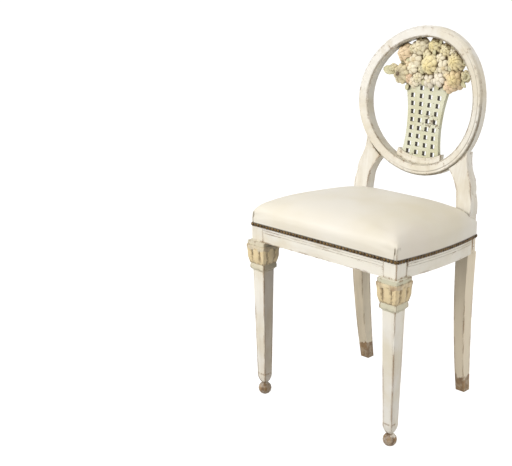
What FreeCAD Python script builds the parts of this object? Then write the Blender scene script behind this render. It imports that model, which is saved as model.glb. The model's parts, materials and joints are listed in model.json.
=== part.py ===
import FreeCAD, Part
import math
import os
import re
import Sketcher
from FreeCAD import Placement, Rotation, Vector

# Painted side chair with a round open back, a pierced basket splat and a nailed leather seat.
# X runs to the sitter's left, Y to the back and Z up; the origin is on the floor under the middle.

document = FreeCAD.newDocument("SideChair")
sheet = document.addObject("Spreadsheet::Sheet", "Sizes")

drivingSizes = {
    # plan of the frame
    "leg_spacing": 396,
    "leg_forward": 186.5,
    "foot_spacing": 304,
    "foot_kick": 29,
    "seat_depth": 329,
    "rail_bottom": 410,
    "rail_height": 58,
    "rail_thickness": 24,
    "rail_step": 1.2,
    "rail_reed_height": 6,
    "rail_plain_height": 24,
    "side_bow": 10.3,
    "seat_corner_inset": 3,
    "seat_corner_radius": 14,
    "seat_slope_angle": 4.97,
    "tenon_length": 16,
    "tenon_thickness": 8,
    "tenon_height": 38,
    "tenon_rise": 10,
    "tenon_inset": 7,
    # front legs
    "block_width": 37,
    "shaft_top_width": 35.2,
    "shaft_end_width": 25,
    "shaft_end_height": 58,
    "neck_width": 10,
    "neck_top_height": 44,
    "ball_width": 33,
    "ball_flat_width": 10,
    "capital_height": 76,
    "collar_height": 18,
    "collar_width": 45.5,
    "capital_foot_width": 43.5,
    "capital_width": 50,
    "capital_lip_width": 57,
    "abacus_width": 53,
    "abacus_height": 10,
    "capital_flute_width": 7,
    "capital_flute_depth": 1.6,
    # rear legs and posts
    "rear_leg_spacing": 358,
    "rear_leg_width": 34,
    "rear_leg_depth": 35,
    "rear_foot_width": 23,
    "post_bend_radius": 900,
    "post_bend_drop": 17.8,
    "post_thickness": 24,
    "post_setback": 5,
    "post_outer_spacing": 349,
    "post_inner_spacing": 276,
    "post_drop": 250,
    "post_shoulder_drop": 196,
    "post_shoulder_outer_spacing": 340,
    "post_shoulder_inner_spacing": 262,
    "post_outer_angle": 24,
    "post_inner_angle": 3,
    # round back
    "ring_width": 360,
    "ring_face_width": 27.5,
    "ring_thickness": 28,
    "back_rise": 250.5,
    "back_tilt_angle": 7.25,
    "back_hollow": 24,
    "ring_bead": 3,
    "ring_outer_round": 7,
    "ring_back_round": 4,
    "ring_joint_angle": 58,
    "ring_crown_angle": 48,
    "dowel_width": 7,
    "dowel_length": 36,
    "dowel_spacing": 12,
    "dowel_clearance": 0.1,
    # basket splat
    "splat_thickness": 11,
    "splat_waist_width": 95,
    "splat_waist_drop": 64,
    "splat_base_width": 108,
    "splat_top_width": 128,
    "splat_top_rise": 42,
    "splat_tongue_width": 60,
    "splat_tongue_length": 8,
    "splat_tongue_thickness": 5,
    "basket_hole_width": 11,
    "basket_row_pitch": 19.6,
    "basket_first_row_drop": 126,
    "shoe_height": 15.5,
    "shoe_thickness": 17,
    "shoe_width": 128,
    "shoe_bead": 3,
    # carved bouquet
    "bouquet_thickness": 30,
    "bouquet_clearance": 0.5,
    "bouquet_ground_thickness": 13,
    # seat
    "corner_block_leg": 62,
    "corner_block_height": 30,
    "screw_width": 4,
    "screw_head_width": 8,
    "screw_head_height": 3,
    "screw_length": 44,
    "webbing_width": 50,
    "webbing_thickness": 1.5,
    "webbing_lap": 14,
    "hessian_thickness": 0.8,
    "leather_thickness": 1.4,
    "leather_clearance": 0.3,
    "leather_drop": 22,
    "cushion_bulge": 3,
    "cushion_edge_rise": 24,
    "cushion_shoulder_rise": 34,
    "cushion_shoulder_width": 12,
    "cushion_crown_rise": 47,
    "cushion_crown_width": 110,
    "cushion_rear_lift": 12,
    "post_slot_clearance": 0.6,
    "dust_cover_thickness": 0.8,
    "dust_cover_margin": 6,
    # nails
    "nail_head_width": 9,
    "nail_head_height": 2.6,
    "nail_rise": 4.5,
    "front_nail_count": 46,
    "side_nail_count": 37,
    "rear_nail_count": 38,
}

for row, (alias, number) in enumerate(drivingSizes.items(), start=1):
    sheet.set(f"A{row}", alias)
    sheet.set(f"B{row}", str(number))
    sheet.setAlias(f"B{row}", alias)
document.recompute()


def size(alias):
    return float(getattr(sheet, alias))


def bind(text):
    # every sheet name has an underscore, so the maths names stay as they are
    return re.sub(r"\b[a-z]+(?:_[a-z]+)+\b", r"Sizes.\g<0>", text)


def value(text):
    names = {alias: size(alias) for alias in drivingSizes}
    found = re.sub(r"\b[a-z]+(?:_[a-z]+)+\b", lambda word: repr(names[word.group(0)]), text)
    result = sheet.evalExpression(found)
    return float(getattr(result, "Value", result))


def turned(degrees, x=0, y=0, z=0, axis=Vector(1, 0, 0)):
    return Placement(Vector(x, y, z), Rotation(axis, degrees))


# The ring stands in a plane that leans back; its own X is the chair's and its own Z faces forward.
legForward = size("leg_forward")
tilt = math.radians(size("back_tilt_angle"))
slope = math.tan(math.radians(size("seat_slope_angle")))
ringOuter = size("ring_width") / 2
ringInner = ringOuter - size("ring_face_width")
ringFront = size("ring_thickness") / 2
frontFace = -legForward - size("block_width") / 2
rearFace = frontFace + size("seat_depth")
backFace = rearFace + size("rear_leg_depth")
railTop = size("rail_bottom") + size("rail_height")
ringHeight = railTop + size("back_rise")
postFront = ringFront - size("post_setback")
kneeHeight = railTop - size("post_bend_drop")
ringSetback = rearFace + postFront / math.cos(tilt) + (ringHeight - kneeHeight) * math.tan(tilt)
ringPlace = turned(90 - size("back_tilt_angle"), 0, ringSetback, ringHeight)
postsMeet = math.radians(
    size("ring_joint_angle") - (size("post_outer_angle") + size("post_inner_angle")) / 2
)
frontHalf = (size("leg_spacing") + size("block_width")) / 2
rearHalf = size("rear_leg_spacing") / 2 + size("seat_corner_inset")


def seatHeight(y):
    # how far the sloping seat has dropped at a place behind the front rail's face
    return (frontFace - y) * slope


def backHollow(x):
    # how far the hollowed back stands forward beside its middle; nothing where it meets the posts
    return size("back_hollow") * ((x / ringOuter) ** 2 - math.cos(postsMeet) ** 2)


def hollowed(radius, angle, depth):
    # a point of the ring, from its radius, its direction and its place in the thickness
    x = radius * math.cos(angle)
    return Vector(x, radius * math.sin(angle), depth + backHollow(x))


def arcEdge(start, end, radius, turn):
    # the shorter arc between two points of one plane; turn 1 goes anticlockwise, -1 clockwise
    chord = end.sub(start)
    half = chord.Length / 2
    normal = Vector(0, 0, 1)
    side = normal.cross(chord).normalize()
    depth = math.sqrt(max(radius * radius - half * half, 0))
    middle = start.add(chord.multiply(0.5)).sub(side.multiply(turn * (radius - depth)))
    return Part.Arc(start, middle, end).toShape()


def outlineFace(steps):
    # steps: a first point, then points with an optional radius and turn for an arc
    edges = []
    last = Vector(steps[0][0], steps[0][1], 0)
    first = last
    for step in steps[1:]:
        point = Vector(step[0], step[1], 0)
        if len(step) == 4:
            edges.append(arcEdge(last, point, step[2], step[3]))
        else:
            edges.append(Part.LineSegment(last, point).toShape())
        last = point
    if last.distanceToPoint(first) > 0:
        edges.append(Part.LineSegment(last, first).toShape())
    return Part.Face(Part.Wire(edges))


def placed(shape, placement):
    copy = shape.copy()
    copy.Placement = placement.multiply(copy.Placement)
    return copy


def flatFaces(corners):
    # one flat face through four corners, or two triangles where they don't lie in a plane
    a, b, c, d = corners
    reach = d.sub(a)
    normal = b.sub(a).cross(c.sub(a)).normalize()
    if abs(reach.dot(normal)) < reach.Length * 1e-9:
        return [Part.Face(Part.makePolygon([a, b, c, d, a]))]
    return [Part.Face(Part.makePolygon([a, b, c, a])), Part.Face(Part.makePolygon([a, c, d, a]))]


def facetedSolid(rings):
    # a solid with flat faces between rings of matching corners, closed at both ends
    faces = [Part.Face(Part.makePolygon(ring + ring[:1])) for ring in (rings[0], rings[-1])]
    for lower, upper in zip(rings, rings[1:]):
        for index, corner in enumerate(lower):
            faces += flatFaces([lower[index - 1], corner, upper[index], upper[index - 1]])
    shell = Part.Shell(faces)
    shell.sewShape()
    solid = Part.Solid(shell)
    if solid.Volume < 0:
        solid.reverse()
    return solid


def block(x, y, z, length, depth, height):
    return Part.makeBox(length, depth, height, Vector(x, y, z))


parts = []


def keep(item):
    parts.append(item)
    return item


def piece(label, shape):
    item = document.addObject("Part::Feature", label)
    item.Label = label
    item.Shape = shape
    return keep(item)


def mirroredPiece(label, source):
    item = document.addObject("Part::Mirroring", label)
    item.Label = label
    item.Source = source
    item.Normal = Vector(1, 0, 0)
    return keep(item)


def originPlane(body, role):
    return next(item for item in body.Origin.OriginFeatures if item.Role == role)


def newBody(label):
    body = document.addObject("PartDesign::Body", label)
    body.Label = label
    return keep(body)


def sketchOn(body, role, name):
    sketch = body.newObject("Sketcher::SketchObject", f"{body.Name}_{name}")
    sketch.AttachmentSupport = (originPlane(body, role), [""])
    sketch.MapMode = "FlatFace"
    return sketch


def addOutline(sketch, corners):
    # corners are written in sheet names; a corner with a radius and a turn ends an arc
    points = [Vector(value(c[0]), value(c[1]), 0) for c in corners]
    last = len(corners) - 1
    first = sketch.GeometryCount
    for index, corner in enumerate(corners):
        start = points[index - 1]
        if len(corner) == 4:
            edge = arcEdge(start, points[index], value(corner[2]), corner[3])
            curve = edge.Curve
            circle = Part.Circle(curve.Center, Vector(0, 0, 1), curve.Radius)
            low = circle.parameter(start if corner[3] > 0 else points[index])
            high = circle.parameter(points[index] if corner[3] > 0 else start)
            sketch.addGeometry(Part.ArcOfCircle(circle, low, high), False)
        else:
            sketch.addGeometry(Part.LineSegment(start, points[index]), False)
    for index, corner in enumerate(corners):
        ends = 1 if len(corner) == 4 and corner[3] < 0 else 2
        following = corners[0] if index == last else corners[index + 1]
        starts = 2 if len(following) == 4 and following[3] < 0 else 1
        here = first + index
        there = first if index == last else here + 1
        sketch.addConstraint(Sketcher.Constraint("Coincident", here, ends, there, starts))
        for kind, place in (("DistanceX", 0), ("DistanceY", 1)):
            number = points[index][place]
            tag = sketch.addConstraint(Sketcher.Constraint(kind, -1, 1, here, ends, number))
            sketch.setExpression(f"Constraints[{tag}]", bind(corner[place]))
        if len(corner) == 4:
            radius = Sketcher.Constraint("Radius", here, value(corner[2]))
            tag = sketch.addConstraint(radius)
            sketch.setExpression(f"Constraints[{tag}]", bind(corner[2]))


def padOf(body, sketch, length, name, midplane=True, reverse=False):
    pad = body.newObject("PartDesign::Pad", f"{body.Name}_{name}")
    pad.Profile = sketch
    pad.Midplane = midplane
    pad.Reversed = reverse
    pad.setExpression("Length", bind(length))
    return pad


# Plan of the seat: straight front, bowed sides and rounded rear corners.
def seatOutline(outset, rise):
    # edges of the seat's outline, moved out by outset and lifted above the rails' top plane
    def at(x, y):
        lift = rise(x, y) if callable(rise) else rise
        return Vector(x, y, railTop + seatHeight(y) + lift)

    radius = size("seat_corner_radius") + outset
    if outset < 0:
        radius = size("seat_corner_radius") - outset * 0.35
    half = radius * math.sqrt(0.5)
    centreX = rearHalf + outset - radius
    centreY = backFace + outset - radius
    front = (frontHalf + outset, frontFace - outset)
    knee = (frontHalf + outset, frontFace + size("block_width"))
    rear = (rearHalf + outset, centreY)
    middleY = (knee[1] + backFace - size("seat_corner_radius")) / 2
    middleX = (frontHalf + rearHalf) / 2 + size("side_bow")
    corner = (centreX + half, centreY + half)
    back = (centreX, backFace + outset)
    edges = []
    for sign in (1, -1):
        straight = Part.LineSegment(
            at(sign * front[0], front[1]), at(sign * knee[0], knee[1])
        ).toShape()
        side = Part.Arc(
            at(sign * knee[0], knee[1]),
            at(sign * (middleX + outset), middleY),
            at(sign * rear[0], rear[1]),
        ).toShape()
        turn = Part.Arc(
            at(sign * rear[0], rear[1]),
            at(sign * corner[0], corner[1]),
            at(sign * back[0], back[1]),
        ).toShape()
        edges.append((straight, side, turn))
    frontLine = Part.LineSegment(at(-front[0], front[1]), at(front[0], front[1])).toShape()
    backLine = Part.LineSegment(at(back[0], back[1]), at(-back[0], back[1])).toShape()
    return edges, frontLine, backLine


def seatRing(outset, rise):
    # corners of a polygon along the outline, from the front left round to the front right
    sides, frontLine, backLine = seatOutline(outset, rise)
    half = [[], []]
    for side, (straight, bow, turn) in zip(half, sides):
        side.append(straight.Vertexes[0].Point)
        side += bow.discretize(7)[:-1]
        side += turn.discretize(5)
    return half[0] + half[1][::-1]


def seatSlab(outset, low, high):
    return facetedSolid([seatRing(outset, low), seatRing(outset, high)])


def seatBox(x, back, up, length, depth, height):
    # a box laid on the rails' sloping top plane, measured back from the front rail's face
    box = block(x, back, up, length, depth, height)
    box.Placement = turned(-size("seat_slope_angle"), 0, frontFace, railTop)
    return box


# Corner blocks, glued to the rails and screwed to the legs
def innerCorner(front):
    # where a straight rail's inner face meets the left rail's, and the directions along them
    sides, frontLine, backLine = seatOutline(0, 0)
    arc = sides[0][1].Curve
    inner = arc.Radius - size("rail_thickness")
    legBack = frontFace + size("block_width")
    if front:
        railY = frontFace + size("rail_thickness")
        spots = (legBack, legBack + size("corner_block_leg"))
    else:
        railY = backFace - size("rail_thickness")
        spots = (rearFace, rearFace - size("corner_block_leg"))
    ends = []
    for y in spots:
        up = (y - arc.Center.y) / math.cos(math.atan(slope))
        ends.append(Vector(arc.Center.x + math.sqrt(inner * inner - up * up), y, 0))
    alongSide = ends[1].sub(ends[0]).normalize()
    corner = ends[0].sub(Vector(alongSide).multiply((ends[0].y - railY) / alongSide.y))
    corner.x -= size("dowel_clearance")
    corner.z = size("rail_bottom") + seatHeight(railY) + size("tenon_rise")
    return corner, Vector(-1, 0, 0), alongSide


def cornerBlock(front):
    corner, alongRail, alongSide = innerCorner(front)
    leg = size("corner_block_leg")
    gap = size("block_width") * 0.84
    points = [
        Vector(corner).add(Vector(direction).multiply(reach))
        for direction, reach in (
            (alongRail, gap), (alongRail, leg), (alongSide, leg), (alongSide, gap),
        )
    ]
    face = Part.Face(Part.makePolygon(points + points[:1]))
    return face.extrude(Vector(0, 0, size("corner_block_height"))).cut(screwBore(front))


def screwLine(front):
    # the middle of the block's long face, and the way from there into the leg
    corner, alongRail, alongSide = innerCorner(front)
    reach = size("corner_block_leg") / 2
    spot = corner.add(Vector(alongRail).multiply(reach)).add(Vector(alongSide).multiply(reach))
    inward = Vector(0, 0, 1).cross(alongSide.sub(alongRail)).normalize()
    if inward.dot(corner.sub(spot)) < 0:
        inward = inward.multiply(-1)
    spot.z += size("corner_block_height") / 2
    return spot, inward


def screwBore(front):
    clear = size("dowel_clearance")
    spot, inward = screwLine(front)
    start = spot.sub(Vector(inward).multiply(clear))
    radius = size("screw_width") / 2 + clear
    return Part.makeCylinder(radius, size("screw_length") + 2 * clear, start, inward)


def screwSolid(front):
    # shank and head with eight sides, the head against the block's long face
    spot, inward = screwLine(front)
    up = Vector(0, 0, 1)
    beside = up.cross(inward)
    levels = (
        (-size("screw_head_height"), size("screw_head_width")),
        (0, size("screw_head_width")),
        (0, size("screw_width")),
        (size("screw_length"), size("screw_width")),
    )
    rings = []
    for reach, width in levels:
        middle = spot.add(Vector(inward).multiply(reach))
        ring = []
        for index in range(8):
            around = math.radians(45 * index)
            point = middle.add(Vector(up).multiply(width / 2 * math.sin(around)))
            ring.append(point.add(Vector(beside).multiply(width / 2 * math.cos(around))))
        rings.append(ring)
    return facetedSolid(rings)


# Front legs
def legProfile():
    # one side of the square leg, from the neck up to the top of its block
    half = {name: size(name) / 2 for name in (
        "neck_width", "shaft_end_width", "shaft_top_width", "collar_width",
        "capital_foot_width", "capital_width", "capital_lip_width", "abacus_width", "block_width",
    )}
    top = size("rail_bottom")
    collar = top - size("capital_height")
    foot = collar + size("collar_height")
    lip = top - size("abacus_height")
    leaf = lip - foot
    collarRound = size("collar_height") / 3
    neckTop = size("neck_top_height")
    flare = half["neck_width"] + (half["shaft_end_width"] - half["neck_width"]) * 0.35
    return [
        (half["neck_width"], neckTop - size("neck_width") / 2),
        (half["neck_width"], neckTop),
        (flare, neckTop + (size("shaft_end_height") - neckTop) * 0.6),
        (half["shaft_end_width"], size("shaft_end_height")),
        (half["shaft_top_width"], collar),
        (half["collar_width"], collar + collarRound),
        (half["collar_width"], foot - collarRound),
        (half["capital_foot_width"], foot),
        (half["capital_width"], foot + leaf * 0.35),
        (half["capital_width"], foot + leaf * 0.6),
        (half["capital_lip_width"], lip - leaf * 0.1),
        (half["capital_lip_width"], lip),
        (half["abacus_width"], lip),
        (half["abacus_width"], top),
        (half["block_width"], top),
        (half["block_width"], railTop),
    ]


def mirroredOutline(steps):
    # closes a half outline with its mirror image across the Y axis
    return steps + [(-x, y) for x, y in reversed(steps)]


def ballFoot():
    # the turned ball with its small flat and the thin neck above it
    radius = size("ball_width") / 2
    flat = size("ball_flat_width") / 2
    neck = size("neck_width") / 2
    centre = math.sqrt(radius * radius - flat * flat)
    low = math.asin(centre / radius)
    high = math.acos(neck / radius)
    bands = 6
    profile = [(0, 0)]
    for band in range(bands + 1):
        angle = -low + (low + high) * band / bands
        profile.append((radius * math.cos(angle), centre + radius * math.sin(angle)))
    profile += [(neck, size("neck_top_height")), (0, size("neck_top_height"))]
    face = placed(outlineFace(profile), turned(90))
    return face.revolve(Vector(0, 0, 0), Vector(0, 0, 1), 360)


def makeFrontLeg():
    axisX = size("leg_spacing") / 2
    reach = size("abacus_width") * 2
    face = outlineFace(mirroredOutline(legProfile()))
    across = placed(face, Placement(Vector(0, reach / 2, 0), Rotation(Vector(1, 0, 0), 90)))
    shape = across.extrude(Vector(0, -reach, 0))
    other = shape.copy()
    other.rotate(Vector(0, 0, 0), Vector(0, 0, 1), 90)
    shape = shape.common(other)
    shape = shape.fuse(ballFoot())
    # carved grooves that part the capital's leaves, three on each face
    low = size("rail_bottom") - size("capital_height") + size("collar_height")
    high = size("rail_bottom") - size("abacus_height")
    reachUp = (high - low) * 0.62
    width = size("capital_flute_width") * math.sqrt(0.5)
    face = size("capital_width") / 2 - size("capital_flute_depth")
    grooves = []
    for turn in range(4):
        for step in (-1, 0, 1):
            groove = block(0, 0, low + (high - low) * 0.14, width, width, reachUp)
            groove.rotate(Vector(0, 0, 0), Vector(0, 0, 1), -45)
            groove.translate(Vector(face, step * size("capital_width") * 0.25, 0))
            groove.rotate(Vector(0, 0, 0), Vector(0, 0, 1), 90 * turn)
            grooves.append(groove)
    shape = shape.cut(grooves)
    # blind mortises for the tenons of the front rail and the side rail
    inset = size("tenon_inset")
    half = size("block_width") / 2
    base = size("rail_bottom") + size("tenon_rise")
    shape = shape.cut(block(
        -half, -half + inset, base, size("tenon_length"), size("tenon_thickness"),
        size("tenon_height"),
    ))
    shape = shape.cut(block(
        half - inset - size("tenon_thickness"), half - size("tenon_length"), base,
        size("tenon_thickness"), size("tenon_length"), size("tenon_height"),
    ))
    shape.translate(Vector(axisX, -legForward, 0))
    above = size("rail_height")
    shape = shape.cut(seatBox(0, -above, 0, axisX * 2, above * 4, above))
    return shape.cut(screwBore(True))


leftFrontLeg = piece("front_leg_left", makeFrontLeg())
mirroredPiece("front_leg_right", leftFrontLeg)


# Rear legs, each sawn from one piece up to the round back
def ringPlaneY(height, ahead):
    # where a plane parallel to the ring's, moved forward by ahead, lies at a height
    return ringSetback + (height - ringHeight) * math.tan(tilt) - ahead / math.cos(tilt)


def ringPlaneHeight(y, ahead):
    return ringHeight + (y - ringSetback + ahead / math.cos(tilt)) / math.tan(tilt)


def rearLegSide():
    # outline seen from the side: the foot kicks back, the post leans back with the ring
    footY = rearFace + size("rear_leg_depth") / 2 + size("foot_kick")
    half = size("rear_foot_width") / 2
    radius = size("post_bend_radius")
    bend = radius * math.tan(tilt / 2)
    back = postFront - size("post_thickness")
    steps = [(footY + half, 0), (footY - half, 0)]
    knees = []
    for y, ahead, edge in ((rearFace, postFront, footY - half), (backFace, back, footY + half)):
        knee = ringPlaneHeight(y, ahead)
        sweep = edge - y
        start = knee - bend
        straight = min(start, size("rail_bottom") + seatHeight(backFace))
        sabre = (sweep * sweep + straight * straight) / (2 * sweep)
        end = (y + bend * math.sin(tilt), knee + bend * math.cos(tilt))
        knees.append((y, straight, start, end, sabre))
    y, straight, start, end, sabre = knees[0]
    steps += [(y, straight, sabre, -1), (y, start), (end[0], end[1], radius, -1)]
    for ahead in (postFront, back):
        steps.append((ringPlaneY(ringHeight, ahead), ringHeight))
    y, straight, start, end, sabre = knees[1]
    steps += [(end[0], end[1]), (y, start, radius, 1), (y, straight)]
    return steps + [(footY + half, 0, sabre, 1)]


def rearLegFront():
    # outline seen square to the leaning back, about the ring's centre
    footX = size("foot_spacing") / 2
    half = size("rear_foot_width") / 2
    outer = size("rear_leg_spacing") / 2
    inner = outer - size("rear_leg_width")
    below = ringHeight * 1.1
    railLow = ringHeight - size("rail_bottom") + size("rear_leg_width")
    seatLow = size("post_drop")
    shoulder = size("post_shoulder_drop")
    bend = size("post_drop") - shoulder
    outerAngle = math.radians(size("ring_joint_angle") - size("post_outer_angle"))
    innerAngle = math.radians(size("ring_joint_angle") - size("post_inner_angle"))
    outerEnd = (ringOuter * math.cos(outerAngle), -ringOuter * math.sin(outerAngle))
    innerEnd = (ringOuter * math.cos(innerAngle), -ringOuter * math.sin(innerAngle))
    outerShoulder = size("post_shoulder_outer_spacing") / 2
    innerShoulder = size("post_shoulder_inner_spacing") / 2
    rise = shoulder + outerEnd[1]
    return [
        (footX - half, -below),
        (footX + half, -below),
        (outer, -railLow),
        (size("post_outer_spacing") / 2, -seatLow),
        (outerShoulder, -shoulder, bend * 2, 1),
        ((outerShoulder + outerEnd[0]) / 2, -shoulder + rise * 0.45, bend * 1.6, 1),
        (outerEnd[0], outerEnd[1], rise * 1.1, -1),
        (innerEnd[0], innerEnd[1], ringOuter, -1),
        (innerShoulder, -shoulder, rise * 1.5, -1),
        (size("post_inner_spacing") / 2, -seatLow),
        (inner, -railLow),
    ]


def makeRearLeg():
    width = size("ring_width")
    toSide = Placement(Vector(0, 0, 0), Rotation(Vector(1, 1, 1), 120))
    shape = placed(outlineFace(rearLegSide()), toSide).extrude(Vector(width, 0, 0))
    front = outlineFace(rearLegFront())
    front.translate(Vector(0, 0, -width / 2))
    solid = placed(front.extrude(Vector(0, 0, width)), ringPlace)
    shape = shape.common(solid)
    # in the seat's height the leg fills out to the rails' line
    depth = size("rear_leg_depth")
    inner = size("rear_leg_spacing") / 2 - size("rear_leg_width")
    low = size("rail_bottom") - size("rail_height")
    swell = block(inner, rearFace, low, size("ring_width"), depth, size("rail_height") * 3)
    swell = swell.common(seatSlab(0, -size("rail_height"), 0))
    shape = shape.fuse(swell)
    # and keeps to their rounded corner, so that the leather can be drawn round it
    reach = (-size("rail_height"), size("cushion_shoulder_rise"))
    shape = shape.cut(seatSlab(depth, *reach).cut(seatSlab(0, *reach)))
    # blind mortises for the tenons of the side rail and the rear rail
    base = railTop - size("rail_height") + size("tenon_rise")
    tenonX = size("leg_spacing") / 2 - size("block_width") / 2 - size("tenon_inset") / 2
    low = base + seatHeight(rearFace)
    shape = shape.cut(block(
        tenonX, rearFace, low, size("tenon_thickness"), size("tenon_length"),
        size("tenon_height"),
    ))
    railY = backFace - size("rail_thickness") + size("tenon_inset")
    low = base + seatHeight(backFace)
    shape = shape.cut(block(
        inner, railY, low, size("tenon_length"), size("tenon_thickness"), size("tenon_height"),
    ))
    return shape.cut(screwBore(False))


rearLegBlank = makeRearLeg()
holeRadius = size("dowel_width") / 2 + size("dowel_clearance")


def pegBores(places):
    # round bores about given middles in the ring's own frame, along given directions
    made = []
    for middle, direction in places:
        reach = size("dowel_length") + 2 * size("dowel_clearance")
        start = middle.sub(Vector(direction).multiply(reach / 2))
        made.append(Part.makeCylinder(holeRadius, reach, start, direction))
    return made


def makePegs(label, places):
    # whittled pegs with eight sides, one for each bore
    links = []
    for index, (middle, direction) in enumerate(places):
        peg = document.addObject("Part::Prism", f"{label}_{index}")
        peg.Polygon = 8
        peg.setExpression("Circumradius", bind("dowel_width / 2"))
        peg.setExpression("Height", bind("dowel_length"))
        start = middle.sub(Vector(direction).multiply(size("dowel_length") / 2))
        along = Placement(start, Rotation(Vector(0, 0, 1), direction))
        peg.Placement = ringPlace.multiply(along)
        links.append(peg)
    group = document.addObject("Part::Compound", label)
    group.Label = label
    group.Links = links
    keep(group)


def ringJointPegs():
    # a peg across each joint of the ring
    places = []
    radius = ringOuter - size("ring_face_width") / 2
    reach = size("dowel_length") / 2 / radius
    for low, high in ((0, 1), (math.pi, -1)):
        for degrees in (size("ring_crown_angle"), -size("ring_joint_angle")):
            angle = low + high * math.radians(degrees)
            along = hollowed(radius, angle + reach, 0).sub(hollowed(radius, angle - reach, 0))
            places.append((hollowed(radius, angle, 0), along.normalize()))
    return places


def postPegs():
    places = []
    for sign in (1, -1):
        outward = Vector(sign * math.cos(postsMeet), -math.sin(postsMeet), 0)
        across = Vector(sign * math.sin(postsMeet), math.cos(postsMeet), 0)
        for side in (-0.5, 0.5):
            shift = Vector(across).multiply(side * size("dowel_spacing") * 1.6)
            middle = Vector(outward).multiply(ringOuter).add(shift)
            places.append((middle, outward))
    return places


postHoles = [placed(bore, ringPlace) for bore in pegBores(postPegs())]
leftRearLeg = piece("rear_leg_left", rearLegBlank.cut(postHoles[:2]))
mirroredPiece("rear_leg_right", leftRearLeg)


# Seat rails: the front and rear ones straight, the side ones bowed with the seat
def railSection(outerSign):
    # section of a rail, its outer face on the sheet's line and its height from the bottom
    step = size("rail_step")
    plain = size("rail_plain_height")
    reed = size("rail_reed_height")
    high = size("rail_height")
    thick = size("rail_thickness")
    return [
        (0, 0), (outerSign * thick, 0), (outerSign * thick, high), (0, high),
        (0, plain + reed + step), (outerSign * step, plain + reed + step / 2),
        (0, plain + reed), (0, plain + step), (outerSign * step, plain + step / 2), (0, plain),
    ]


def makeFrontRail():
    body = newBody("front_rail")
    section = sketchOn(body, "YZ_Plane", "section")
    plain = "rail_plain_height"
    reed = "(rail_plain_height + rail_reed_height)"
    addOutline(section, [
        ("rail_thickness", "0"),
        ("rail_thickness", "rail_height - rail_thickness * tan(seat_slope_angle * 1 deg)"),
        ("0", "rail_height"),
        ("0", f"{reed} + rail_step"),
        ("rail_step", f"{reed} + rail_step / 2"),
        ("0", reed),
        ("0", f"{plain} + rail_step"),
        ("rail_step", f"{plain} + rail_step / 2"),
        ("0", plain),
        ("0", "0"),
    ])
    padOf(body, section, "leg_spacing - block_width", "rail")
    tenon = sketchOn(body, "YZ_Plane", "tenon_section")
    addOutline(tenon, [
        ("tenon_inset + tenon_thickness", "tenon_rise"),
        ("tenon_inset + tenon_thickness", "tenon_rise + tenon_height"),
        ("tenon_inset", "tenon_rise + tenon_height"),
        ("tenon_inset", "tenon_rise"),
    ])
    padOf(body, tenon, "leg_spacing - block_width + 2 * tenon_length", "tenon")
    body.Placement.Base = Vector(0, frontFace, size("rail_bottom"))


def makeRearRail():
    body = newBody("rear_rail")
    span = "(rear_leg_spacing - 2 * rear_leg_width)"
    drop = "rail_thickness * tan(seat_slope_angle * 1 deg)"
    section = sketchOn(body, "YZ_Plane", "section")
    addOutline(section, [
        ("0", "0"),
        ("0", "rail_height"),
        ("-rail_thickness", f"rail_height + {drop}"),
        ("-rail_thickness", drop),
    ])
    padOf(body, section, span, "rail")
    tenon = sketchOn(body, "YZ_Plane", "tenon_section")
    front = "tenon_inset - rail_thickness"
    addOutline(tenon, [
        (f"{front} + tenon_thickness", "tenon_rise"),
        (f"{front} + tenon_thickness", "tenon_rise + tenon_height"),
        (front, "tenon_rise + tenon_height"),
        (front, "tenon_rise"),
    ])
    padOf(body, tenon, f"{span} + 2 * tenon_length", "tenon")
    body.Placement.Base = Vector(0, backFace, size("rail_bottom") + seatHeight(backFace))


def makeSideRail():
    # the section turns about the middle of the seat's side arc, on the sloping seat plane
    sides, frontLine, backLine = seatOutline(0, -size("rail_height"))
    arc = sides[0][1]
    centre = arc.Curve.Center
    axis = Vector(0, math.sin(math.atan(slope)), math.cos(math.atan(slope)))
    start = arc.valueAt(arc.FirstParameter)
    inward = centre.sub(start).normalize()
    edges = []
    corners = [
        start.add(Vector(inward).multiply(x)).add(Vector(axis).multiply(y))
        for x, y in railSection(1)
    ]
    for index, corner in enumerate(corners):
        edges.append(Part.LineSegment(corners[index - 1], corner).toShape())
    face = Part.Face(Part.Wire(edges))
    end = arc.valueAt(arc.LastParameter)
    sweep = math.degrees(start.sub(centre).getAngle(end.sub(centre)))
    if start.sub(centre).cross(end.sub(centre)).dot(axis) < 0:
        axis = Vector(axis).multiply(-1)
    shape = face.revolve(centre, axis, sweep)
    # cut off where the leg blocks stand
    reach = size("leg_spacing")
    low = size("rail_bottom") - size("rail_height")
    high = size("rail_height") * 3
    half = size("block_width") / 2
    legBack = -legForward + half
    shape = shape.cut(block(0, legBack - reach, low, reach, reach, high))
    shape = shape.cut(block(0, rearFace, low, reach, reach, high))
    base = size("rail_bottom") + size("tenon_rise")
    tenonX = size("leg_spacing") / 2 + half - size("tenon_inset") - size("tenon_thickness")
    length = size("tenon_length")
    depth = size("rail_thickness")
    shape = shape.fuse(block(
        tenonX, legBack - length, base, size("tenon_thickness"), length + depth / 4,
        size("tenon_height"),
    ))
    tenonX = size("leg_spacing") / 2 - half - size("tenon_inset") / 2
    shape = shape.fuse(block(
        tenonX, rearFace - depth / 4, base + seatHeight(rearFace), size("tenon_thickness"),
        length + depth / 4, size("tenon_height"),
    ))
    return shape


def bothSides(shapes):
    acrossX = Vector(1, 0, 0)
    return shapes + [shape.mirror(Vector(0, 0, 0), acrossX) for shape in shapes]


makeFrontRail()
makeRearRail()
leftSideRail = piece("side_rail_left", makeSideRail())
mirroredPiece("side_rail_right", leftSideRail)
for place, front in (("front", True), ("rear", False)):
    wedge = piece(f"corner_block_{place}_left", cornerBlock(front))
    mirroredPiece(f"corner_block_{place}_right", wedge)
screws = bothSides([screwSolid(True), screwSolid(False)])
piece("corner_block_screws", Part.makeCompound(screws))


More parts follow.
